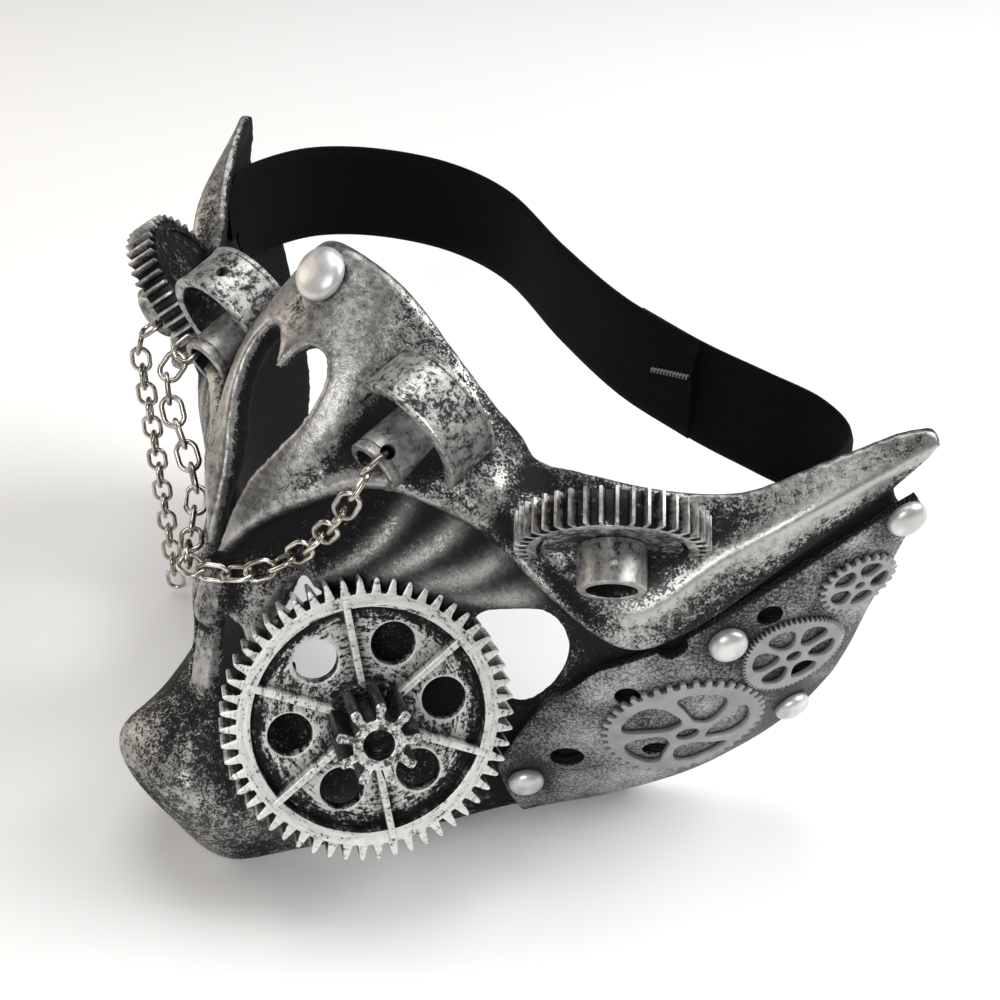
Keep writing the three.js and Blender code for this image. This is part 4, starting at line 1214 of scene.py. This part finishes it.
def make_tubes(material, plate_seat):
    outer, inner = TUBE["radius"], TUBE["radius"] - TUBE["wall"]
    end = -TUBE["length"]
    profile = [
        (0, end), (outer, end), (outer, -2.0), (outer - 0.3, -1.85), (outer - 0.3, -1.45), (outer, -1.3),
        (outer, -0.25), (outer - 0.25, 0), (inner + 0.2, 0), (inner, -0.2), (inner, end + 2), (0, end + 2),
    ]
    place = ring_frame(TUBE["slide"], TUBE["raise"])
    hole_at = point_in(place, 0, outer, -TUBE["hole_back"])
    hole = round_cutter(TUBE["hole"], 24, (-3, 3), frame_at(hole_at, RING_OUT, RING_AXIS))
    body = largest(cut(placed(lathe(profile, 48), place), [hole, plate_seat]))
    x, y, z = local_points(place, body[0]).T
    inside = in_bore(x, y, inner) * (z < -0.1)
    pair("ring_tube", body, material, "silver", cover=TUBE_COVER - TUBE_COVER * inside)


CHEEK = {"teeth": 40, "root": 13.8, "tip": 15.8, "thick": 5.9, "dish": 12.2, "groove": 11.3}
CHEEK_TOOTH = [(0, 0.46), (0.15, 0.34), (0.9, 0.26), (1, 0.2)]
CHEEK_CENTRE = np.array([57.9, 36.2, 12.6])
CHEEK_OUT = np.array([0.56, -0.62, -0.55])
CHEEK_PLACE = frame_at(CHEEK_CENTRE, CHEEK_OUT, UP)
CHEEK_PAINT = {"disc": 0.36, "front": 0.8, "tooth": 0.9}
HUB = {"radius": 5.6, "bore": 4.1, "length": 6.4, "hole": 1.25, "hole_back": 2.4}
HUB_PAINT = {"front": 0.9, "side": 0.56, "bore": 0.9}
NUB = {"radius": 0.9, "height": 1.4, "back": 3.2}


def make_cheek_gears(material, seat):
    dish, groove, back = CHEEK["dish"], CHEEK["groove"], -CHEEK["thick"]
    teeth = toothed(CHEEK["teeth"], CHEEK["root"], CHEEK["tip"], CHEEK_TOOTH)
    rim = plate([teeth, circle(dish, 96)], back, 0, 0.16)
    profile = [
        (0, back + 0.4), (dish + 0.2, back + 0.4), (dish + 0.2, -2.2), (groove + 0.3, -2.2), (groove, -0.75),
        (groove - 0.4, -0.6), (8, -0.95), (HUB["radius"] + 0.5, -1.1), (0, -1.1),
    ]
    body = cut(placed(rim, CHEEK_PLACE), [placed(lathe(profile, 90), CHEEK_PLACE)], "UNION")
    gear = largest(cut(body, seat))
    x, y, z = local_points(CHEEK_PLACE, gear[0]).T
    radius = np.hypot(x, y)
    tooth = rise(radius, CHEEK["root"] + 0.4, CHEEK["tip"] - CHEEK["root"] - 0.6)
    disc = np.where(z > -1.3, CHEEK_PAINT["disc"], 0.0)
    wheel = np.where(z > -0.06, CHEEK_PAINT["front"], CHEEK_PAINT["tooth"] * tooth)
    pair("cheek_gear", gear, material, "silver", cover=np.where(radius < dish + 0.3, disc, wheel))


def make_cheek_hubs(material, seat):
    outer, bore, length = HUB["radius"], HUB["bore"], HUB["length"]
    profile = [
        (0, -0.9), (outer, -0.9), (outer, length - 0.3), (outer - 0.3, length), (bore + 0.2, length),
        (bore, length - 0.2), (bore, 1.6), (0, 1.6),
    ]
    hub = placed(lathe(profile, 48), CHEEK_PLACE)
    _, up, out = CHEEK_PLACE[0]
    nub_at = CHEEK_CENTRE + up * (outer - 0.2) + out * (length - NUB["back"])
    wide, high = NUB["radius"], NUB["height"]
    nub = lathe([(0, 0), (wide, 0), (wide * 0.7, high * 0.5), (0, high)], 14)
    hub = cut(hub, [placed(nub, frame_at(nub_at, up, out))], "UNION")
    hub = largest(cut(hub, seat))
    piece("cheek_hub_left_skin", hub, material, "silver", "cheek_hub_left", cover=hub_cover(hub[0]))
    far = cut(mirror(hub), [round_cutter(HUB["hole"], 20, (-2.5, 2.5), frame_at(*hub_hook()["hole"]))])
    cover = hub_cover(flip(far[0]))
    piece("cheek_hub_right_skin", far, material, "silver", "cheek_hub_right", cover=cover)


def hub_cover(points):
    x, y, z = local_points(CHEEK_PLACE, points).T
    inside = in_bore(x, y, HUB["bore"]) * (z < HUB["length"] - 0.15)
    outside = np.where(z > HUB["length"] - 0.35, HUB_PAINT["front"], HUB_PAINT["side"])
    return outside - HUB_PAINT["bore"] * inside


BIG = {
    "teeth": 54, "root": 22.6, "tip": 25.3, "rim": 20.2, "thick": 6.2, "sink": 2.8, "spoke": 0.62,
    "hole": 3.9, "holes": 13.6, "boss": 7.0, "post": 5.0, "stand": 16.0, "turn": 0.59,
}
BIG_CENTRE = np.array([32.1, 5.1, -21.4])
BIG_OUT = np.array([0.764, -0.473, 0.438])
BIG_PLACE = frame_at(BIG_CENTRE, BIG_OUT, UP)
BIG_PAINT = {
    "boss": 0.1, "hole_edge": 0.9, "crest": 0.55, "back": 0.0, "front": 0.74, "tooth": 0.05, "spoke": 0.1,
}
# Paint of the web between the spokes; it darkens towards the rim as painted shade from the rim's wall
WEB_PAINT = {"base": 0.46, "by_rim": -0.6}
BIG_TOOTH = [(0, 0.7), (0.25, 0.54), (0.6, 0.42), (0.88, 0.27), (1, 0.12)]
PINION = {"teeth": 9, "root": 4.4, "tip": 7.2, "bore": 2.6, "length": 12.0, "start": 0.3}
PINION_PAINT = {"front": 0.48, "side": 0.05}
PINION_TOOTH = [(0, 0.5), (0.3, 0.4), (0.7, 0.42), (0.92, 0.32), (1, 0.14)]


def big_cover(local, holes):
    """Speckled paint on the big gear, from the first of its regions that has the point."""
    x, y, z = local.T
    radius = np.hypot(x, y)
    to_hole = np.min([np.hypot(x - a, y - b) for a, b in holes], axis=0)
    regions = {
        "boss": radius < BIG["boss"] + 0.1,
        "hole_edge": (np.abs(to_hole - BIG["hole"]) < 0.3) & (z > -BIG["sink"] - 0.1),
        "crest": (radius > BIG["tip"] - 0.5) & (z < -0.12),
        "back": z < -BIG["sink"] - 0.2,
        "front": z > -0.12,
        "tooth": radius > BIG["rim"] + 0.6,
        "spoke": z > -BIG["sink"] + 0.1,
    }
    web = blend(WEB_PAINT, by_rim=rise(radius, BIG["rim"] - 3.0, 2.5))
    return np.select(list(regions.values()), [BIG_PAINT[key] for key in regions], web)


def make_big_gear(material, low_seat):
    back, floor, edge = -BIG["thick"], -BIG["sink"], BIG["boss"]
    teeth = toothed(BIG["teeth"], BIG["root"], BIG["tip"], BIG_TOOTH)
    rim = plate([teeth, circle(BIG["rim"], 120)], back, 0, 0.22)
    angles = [BIG["turn"] + math.pi * k / 3 for k in range(6)]
    between = [angle + math.pi / 6 for angle in angles]
    holes = [(BIG["holes"] * math.cos(angle), BIG["holes"] * math.sin(angle)) for angle in between]
    rings = [circle(BIG["rim"] + 0.3, 120), *[circle(BIG["hole"], 40, centre) for centre in holes]]
    web = sliced(plate(rings, back + 0.3, floor, 0.15), 1.3)
    run = np.linspace(5.0, BIG["root"] - 0.6, 16)
    half = np.full(16, BIG["spoke"])
    bar = np.concatenate([np.c_[run, -half], np.c_[run, half][::-1]])
    spokes = []
    for angle in angles:
        turn = np.array([[math.cos(angle), math.sin(angle)], [-math.sin(angle), math.cos(angle)]])
        spokes.append(plate([bar @ turn], floor - 0.4, 0.2, 0.2))
    boss = [(0, floor - 0.5), (edge, floor - 0.5), (edge, -0.3), (edge - 0.3, 0), (0, 0)]
    post = [(0, -BIG["stand"]), (BIG["post"], -BIG["stand"]), (BIG["post"], back + 1), (0, back + 1)]
    wheel = placed(join([rim, web, *spokes, lathe(boss, 40)]), BIG_PLACE)
    stalk = largest(cut(placed(lathe(post, 32), BIG_PLACE), [low_seat]))
    gear = join([wheel, stalk])
    local = local_points(BIG_PLACE, gear[0])
    radius = np.hypot(local[:, 0], local[:, 1])
    turn = local[:, :2] / np.maximum(radius, 0.5)[:, None]
    piece("big_gear_skin", gear, material, "silver", "big_gear", 30.0, cover=big_cover(local, holes),
          ring=radius, turn_x=turn[:, 0], turn_y=turn[:, 1])


def make_pinion(material):
    start, end, bore = PINION["start"], PINION["length"], PINION["bore"]
    ring = toothed(PINION["teeth"], PINION["root"], PINION["tip"], PINION_TOOTH)
    leaf = plate([ring, circle(bore, 40)], start, end, 0.25)
    collar = [(0, start), (bore + 0.1, start), (bore + 0.1, end - 3.5), (0, end - 3.5)]
    body = placed(join([leaf, lathe(collar, 32)]), BIG_PLACE)
    depth = end - local_points(BIG_PLACE, body[0])[:, 2]
    cover = np.where(depth < 0.15, PINION_PAINT["front"], PINION_PAINT["side"])
    piece("pinion_skin", body, material, "silver", "pinion", 30.0, cover=cover)


# Side panel: places of its upper and lower edge on the lower face, from the front to the ear
PANEL = [
    ((4.82, 2.72), (5.03, 3.77)), ((5.05, 2.3), (5.4, 3.68)), ((5.53, 1.53), (5.8, 3.6)),
    ((6.15, 0.97), (6.25, 3.55)), ((6.56, 0.88), (6.7, 3.6)), ((6.97, 0.89), (7.2, 3.85)),
    ((7.38, 0.89), (7.6, 4.0)), ((8.05, 0.95), (8.05, 3.88)), ((8.92, 0.87), (8.75, 3.55)),
    ((9.78, 0.99), (9.5, 3.0)), ((10.2, 1.2), (10.15, 2.4)),
]
# Punched holes: place and radius
PANEL_HOLES = [
    (5.64, 2.41, 3.2), (6.52, 1.39, 2.3), (8.04, 1.43, 2.3), (6.67, 2.52, 2.4), (8.02, 2.78, 2.1),
    (7.13, 0.86, 2.8),
]
PANEL_RIVETS = [(5.15, 2.93), (7.58, 1.39), (7.79, 3.5), (9.95, 1.5)]
PANEL_RIVET = {"radius": 3.4, "height": 2.7, "sink": 0.15}
# Paint on the leather; the amount near each rivet is painted shade round it
PANEL_PAINT = {"base": 0.5, "by_rivet": -0.6, "under": -2.0}
PANEL_GAP = 0.6
LEATHER = 2.0
PANEL_TOP = PANEL_GAP + LEATHER


def make_panels(material):
    u = np.linspace(0, 1, 141)
    v = np.linspace(0, 1, 61)
    flat = [np.array([(*row[k], 0) for row in PANEL], float) for k in (0, 1)]
    top, rim = (spline(line, u)[:, :2] for line in flat)
    place = top[:, None] + (rim - top)[:, None] * v[None, :, None]
    rough = np.random.default_rng(7)
    ragged = np.convolve(rough.normal(0, 0.05, len(u)), np.ones(3) / 3, "same") * np.clip((u - 0.6) * 4, 0, 1)
    place[:, -4:, 1] += ragged[:, None] * np.array([0.1, 0.3, 0.7, 1.0])
    s, w = place[..., 0].ravel(), place[..., 1].ravel()
    edge = np.minimum(np.minimum(u[:, None], 1 - u[:, None]) * 100, np.minimum(v[None], 1 - v[None]) * 45)
    soft = 0.45 * np.exp(-edge / 0.5).ravel()
    dent = sum(0.35 * np.exp(-(((s - a) / 0.28) ** 2 + ((w - b) / 0.28) ** 2)) for a, b in PANEL_RIVETS)
    outer = on_lower(s, w, PANEL_TOP - soft - dent).reshape(len(u), len(v), 3)
    inner = on_lower(s, w, PANEL_GAP).reshape(len(u), len(v), 3)
    for part in (outer, inner):
        part[..., 2] = np.maximum(part[..., 2], TABLE)
    punches = [
        round_cutter(radius, 32, (-1, 8), frame_at(on_lower(a, b)[0], lower_normal(a, b), UP))
        for a, b, radius in PANEL_HOLES
    ]
    panel = cut(block(outer, inner), punches)
    to_rivet = distances(panel[0], [on_lower(a, b, PANEL_TOP)[0] for a, b in PANEL_RIVETS])
    under = distances(panel[0], inner.reshape(-1, 3)) < LEATHER / 2
    cover = blend(PANEL_PAINT, by_rivet=bell(to_rivet, 0, 5.5), under=under)
    pair("side_panel", panel, material, "leather", 50.0, cover=cover)


def make_panel_rivets(material):
    for k, (s, w) in enumerate(PANEL_RIVETS):
        origin = on_lower(s, w, PANEL_TOP - PANEL_RIVET["sink"])[0]
        shape = dome(PANEL_RIVET["radius"], PANEL_RIVET["height"], origin, lower_normal(s, w))
        pair(f"panel_rivet_{k + 1}", shape, material, "pearl", 50.0)


# Flat gears: name, place, radius, teeth, bore; windows: number, middle, reach, half angle, swirl, squareness
PANEL_GEARS = [
    ("large", 7.02, 2.4, 14.2, 40, 1.9, 5, 7.3, 3.9, 0.51, 0.2, 0.6),
    ("medium", 8.03, 2.29, 9.4, 64, 1.4, 6, 5.2, 2.5, 0.42, 0.0, 0.75),
    ("small", 9.05, 2.16, 6.8, 24, 0.9, 5, 3.6, 1.65, 0.51, 0.0, 0.75),
]
GEAR_LIFT = 0.08
FLAT_TOOTH = [(0, 0.64), (0.3, 0.5), (0.8, 0.42), (1, 0.28)]
FLAT_GEAR = 1.0
TOOTH_DEPTH = 2.3
TOOTH_POWER = 0.9
BEND_STEP = 1.6


def laid_on(s, w, flat, lift):
    """Points of the plane touching the lower face at (s, w), laid down on that face."""
    origin = on_lower(s, w)[0]
    x, y, _ = frame_at(origin, lower_normal(s, w), UP)[0]
    at = np.tile([float(s), float(w)], (len(flat), 1))
    step = 0.01
    for _ in range(4):
        here = lower(at[:, 0], at[:, 1])
        miss = flat - np.stack([(here - origin) @ x, (here - origin) @ y], 1)
        by_s = (lower(at[:, 0] + step, at[:, 1]) - here) / step
        by_w = (lower(at[:, 0], at[:, 1] + step) - here) / step
        sx, sy, wx, wy = by_s @ x, by_s @ y, by_w @ x, by_w @ y
        det = sx * wy - wx * sy
        at[:, 0] += (miss[:, 0] * wy - miss[:, 1] * wx) / det
        at[:, 1] += (miss[:, 1] * sx - miss[:, 0] * sy) / det
    return on_lower(at[:, 0], at[:, 1], lift)


def window(first, middle, reach, half, swirl, square):
    """Outline of one rounded opening between two spokes of a flat gear."""
    angle = np.linspace(0, 2 * math.pi, 32, endpoint=False)
    x, y = (np.sign(wave) * np.abs(wave) ** square for wave in (np.cos(angle), np.sin(angle)))
    radius, turn = middle + reach * x, first + half * y + swirl * x
    return np.stack([radius * np.cos(turn), radius * np.sin(turn)], 1)


def make_panel_gears(material):
    for name, s, w, radius, teeth, bore, arms, *form in PANEL_GEARS:
        root = radius - TOOTH_DEPTH * radius / teeth ** TOOTH_POWER
        rings = [toothed(teeth, root, radius, FLAT_TOOTH), circle(bore, 24)]
        rings += [window(2 * math.pi * k / arms, *form) for k in range(arms)]
        flat = sliced(plate(rings, 0, FLAT_GEAR, 0.14), BEND_STEP)
        points = laid_on(s, w, flat[0][:, :2], PANEL_TOP + GEAR_LIFT + flat[0][:, 2])
        pair(f"panel_gear_{name}", outward((points, flat[1])), material, "pewter", 30.0)


# Chains

LINK = {"length": 6.2, "width": 4.5, "wire": 0.48, "pitch": 4.1, "turn": 0.75}
SWAG = [
    (24.9, 11, 20.3), (22.3, 9.2, 14.6), (17.3, 7.8, 8), (12.9, 5.6, 3.4), (9.2, 1.6, 0.8), (5.6, -1.4, 0),
    (2.8, -4, 0.3),
]
SWAG_MIDDLE = (0, -5.3, 0.8)
HOOK_OUT = 0.55
# Side of the hub that the loose chain hangs on, and the run of that chain
HUB_FRONT = np.array([0.753, -0.657, -0.028])
HANG = {"drop": 4.6, "out": 3.4, "raise": 0.4, "lean": 0.6, "dip": 3.0}


def link(centre, direction, flat):
    straight = (LINK["length"] - LINK["width"]) / 2
    bend = LINK["width"] / 2 - LINK["wire"]
    angle = np.linspace(0, 2 * math.pi, 32, endpoint=False) + 0.01
    shift = np.where(np.sin(angle) >= 0, straight, -straight)
    spine = np.stack([bend * np.cos(angle), bend * np.sin(angle) + shift, np.zeros(32)], 1)
    ring = tube(spine, LINK["wire"], 8, closed=True, flat=UP)
    return placed(ring, frame_at(centre, flat, direction))


def chain(route, out, first, last):
    """Links along a route, each a part turn from the one before; end links lie as the hooks say."""
    fine = spline(np.array(route, float), np.linspace(0, 1, 400))
    run = run_lengths(fine)

    def after(distance):
        return np.array([np.interp(distance, run, line) for line in fine.T])

    count = round(run[-1] / LINK["pitch"])
    links = []
    for k in range(count + 1):
        here = run[-1] * k / count
        at = after(here)
        direction = unit(after(here + 1) - after(here - 1))
        side = unit(np.cross(direction, out))
        face = unit(np.cross(side, direction))
        turn = LINK["turn"] if k % 2 else -LINK["turn"]
        flat = face * math.cos(turn) + side * math.sin(turn)
        end = first if k == 0 else last if k == count else None
        links.append(link(at, end["along"], end["flat"]) if end else link(at, direction, flat))
    return join(links)


def hooked(mouth, axis, radial, middle):
    """Place of an end link that goes through a hole in a tube's wall and round the tube's mouth."""
    at = mouth + radial * middle + axis * HOOK_OUT
    return {"at": at, "along": axis, "flat": unit(np.cross(axis, radial))}


def hub_hook():
    axis = unit(flip(CHEEK_OUT))
    mouth = flip(CHEEK_CENTRE) + axis * HUB["length"]
    front = unit(HUB_FRONT - axis * (HUB_FRONT @ axis))
    middle = (HUB["radius"] + HUB["bore"]) / 2
    hook = hooked(mouth, axis, front, middle)
    hook["hole"] = (mouth - axis * HUB["hole_back"] + front * middle, front, axis)
    return hook


def make_chains(material):
    axis = unit(RING_AXIS)
    mouth = ring_frame(TUBE["slide"], TUBE["raise"])[1]
    left = hooked(mouth, axis, unit(RING_OUT), TUBE["radius"] - TUBE["wall"] / 2)
    right = {key: flip(value) for key, value in left.items()}
    route = [left["at"], *SWAG, SWAG_MIDDLE, *[flip(p) for p in SWAG[::-1]], right["at"]]
    swag = chain(route, np.array([0, -0.8, 0.6]), left, right)
    piece("nose_chain_skin", swag, material, "nickel", "nose_chain", 60.0)
    hook = hub_hook()
    top = hook["at"] + hook["along"] * HANG["out"] + (0, 0, HANG["raise"])
    end = np.array([top[0] - HANG["lean"], top[1] - HANG["lean"], TABLE + HANG["drop"]])
    hang = [hook["at"], top - (0, 0, HANG["dip"]), top + (end - top) * 0.3, top + (end - top) * 0.7, end]
    loose = chain(hang, np.array([0, -1, 0.1]), hook, None)
    piece("hanging_chain_skin", loose, material, "nickel", "hanging_chain", 60.0)


# Strap: middle line of each length of elastic
BAND = {"width": 21.5, "thick": 1.4}
STRAP_LONG = [
    (-75.5, 62, 12.8), (-76.5, 72, 13.6), (-72.5, 84, 14.2), (-61.6, 94, 14.2), (-45, 100, 14.2),
    (-26, 99, 14.2), (-2, 89.5, 14.2), (20, 82.5, 14.2), (39, 80.2, 14.2),
]
STRAP_SHORT = [
    (23, 84.2, 12.5), (39, 82.2, 12.7), (53, 81.8, 13), (65, 81.5, 13), (74, 76.5, 13), (76.5, 66, 12.6),
]


def make_strap(name, rows, material, trim):
    steps, rows_across = 150, 17
    fine = spline(np.array(rows, float), np.linspace(0, 1, steps))
    run = run_lengths(fine)
    ahead = unit(np.gradient(fine, axis=0))
    across = unit(np.cross(ahead, UP))
    v = np.linspace(-1, 1, rows_across)
    round_edge = np.sqrt(np.clip(1 - np.abs(v) ** 14, 0.08, 1))
    height = np.array([0, 0, 1.0]) * (v * BAND["width"] / 2)[None, :, None]
    sides = [
        fine[:, None] + height + across[:, None] * (sign * BAND["thick"] / 2 * round_edge)[None, :, None]
        for sign in (1, -1)
    ]
    band = largest(cut(block(*sides), trim))
    level = (1, 1, 0)
    order = tree_of(fine * level)
    length = np.array([run[order.find(p)[1]] for p in band[0] * level])
    obj = piece(f"{name}_skin", band, material, "elastic", name, 50.0, along=length, across=band[0][:, 2])


def strap_trims():
    """Blocks over the shell's inner side, that end the strap there."""
    clear = -WALL - 0.35
    high = 12
    arm = slab(on_mantle, ((7, LAST), (0, 1), 25, 13), high, clear)
    low = slab(on_lower, ((6.5, LAST), (0, 4), 25, 21), high, clear)
    return [arm, low]


TACK = {"x": 33.5, "z": 15.5, "length": 8.6, "rise": 2.6, "stitches": 12, "radius": 0.26}


def make_tack(material):
    """Bar tack that holds the two lengths of elastic together."""
    fine = spline(np.array(STRAP_LONG, float), np.linspace(0.8, 1, 200))
    k = int(np.argmin(np.abs(fine[:, 0] - TACK["x"])))
    ahead = unit(fine[k + 1] - fine[k - 1])
    out = -unit(np.cross(UP, ahead)) * (BAND["thick"] / 2 + 0.05)
    threads = []
    for n in range(TACK["stitches"]):
        along_band = (ahead * TACK["length"] + (0, 0, TACK["rise"])) * (n / (TACK["stitches"] - 1) - 0.5)
        lean = np.array([0, 0, 0.55])
        middle = fine[k] + along_band + out + (0, 0, TACK["z"] - fine[k][2])
        threads.append(tube([middle - lean, middle, middle + lean + ahead * 0.5], TACK["radius"], 8))
    piece("strap_tack", join(threads), material, "elastic", None, 50.0)


# Stage


def make_camera():
    right = Vector((math.cos(AZIMUTH), math.sin(AZIMUTH), 0))
    back = Vector((math.sin(AZIMUTH) * math.cos(ELEVATION), -math.cos(AZIMUTH) * math.cos(ELEVATION),
                   math.sin(ELEVATION)))
    up = back.cross(right)
    data = bpy.data.cameras.new("camera")
    data.lens = LENS
    data.sensor_width = SENSOR
    data.clip_start = 0.01
    data.clip_end = 20
    camera = add_object("camera", data)
    turn = Matrix((right, up, back)).transposed().to_4x4()
    camera.matrix_world = Matrix.Translation((EYE + Vector(SHIFT)) * MM) @ turn
    bpy.context.scene.camera = camera


def make_floor():
    size = 4.0
    mesh = bpy.data.meshes.new("floor")
    corners = [(-size, -size, 0), (size, -size, 0), (size, size, 0), (-size, size, 0)]
    mesh.from_pydata(corners, [], [[0, 1, 2, 3]])
    f = Finish("pale_floor", specular_ior_level=0.2)
    shade = f.noise(3, 2, 0.5)
    mesh.materials.append(f.set(base_color=f.mix(shade, *FLOOR),
                                roughness=f.sum((shade, 0.1), (1.0, 0.6))))
    floor = add_object("floor", mesh)


# Lights: name, place in metres, side in metres, power in watts and colour
LIGHTS = [
    ("window", (0.42, 0.48, 0.6), 0.5, 6.5, (1, 1, 1)),
    ("top", (-0.1, 0.1, 0.9), 0.5, 3.0, (1, 1, 1)),
    ("room", (0.35, -0.6, 0.5), 0.35, 2.8, (1, 1, 1)),
    ("warm_side", (-0.6, -0.3, 0.3), 0.4, 1.2, (1.0, 0.88, 0.75)),
]
LIGHT_AIM = Vector((0, 0, 0.05))
SKY = 0.16


def make_lights():
    for name, place, side, power, colour in LIGHTS:
        data = bpy.data.lights.new(name, "AREA")
        data.shape = "RECTANGLE"
        data.size = side
        data.size_y = side
        data.energy = power
        data.color = colour
        light = add_object(name, data)
        light.location = place
        light.rotation_euler = (LIGHT_AIM - Vector(place)).to_track_quat("-Z", "Y").to_euler()
    world = bpy.data.worlds.new("studio")
    world.use_nodes = True
    background = world.node_tree.nodes["Background"]
    background.inputs["Color"].default_value = (1, 1, 1, 1)
    background.inputs["Strength"].default_value = SKY
    bpy.context.scene.world = world
    bpy.context.scene.view_settings.view_transform = "Standard"


def main():
    make_camera()
    make_floor()
    make_lights()
    make_shell()
    plate_seat, arm_seat, low_seat = seats()
    pearl = pearl_finish()
    steel = silver_finish("speckled_silver", 1.8, (STEEL, SATIN))
    bright = silver_finish("bright_silver", 1.5, (LIGHT, PALE))
    brushed = silver_finish("brushed_silver", 2.2, (LIGHT, PALE), 0.35, True)
    make_nose_rivet(pearl)
    make_rings(steel, plate_seat)
    make_tubes(steel, plate_seat)
    make_cheek_gears(steel, [arm_seat, plate_seat])
    make_cheek_hubs(steel, [arm_seat, plate_seat])
    make_big_gear(brushed, low_seat)
    make_pinion(bright)
    make_panels(leather_finish())
    make_panel_rivets(pearl)
    make_panel_gears(pewter_finish())
    make_chains(nickel_finish())
    elastic = elastic_finish()
    trims = strap_trims()
    make_strap("strap_long", STRAP_LONG, elastic, [mirror(shape) for shape in trims])
    make_strap("strap_short", STRAP_SHORT, elastic, trims)
    make_tack(thread_finish())


main()
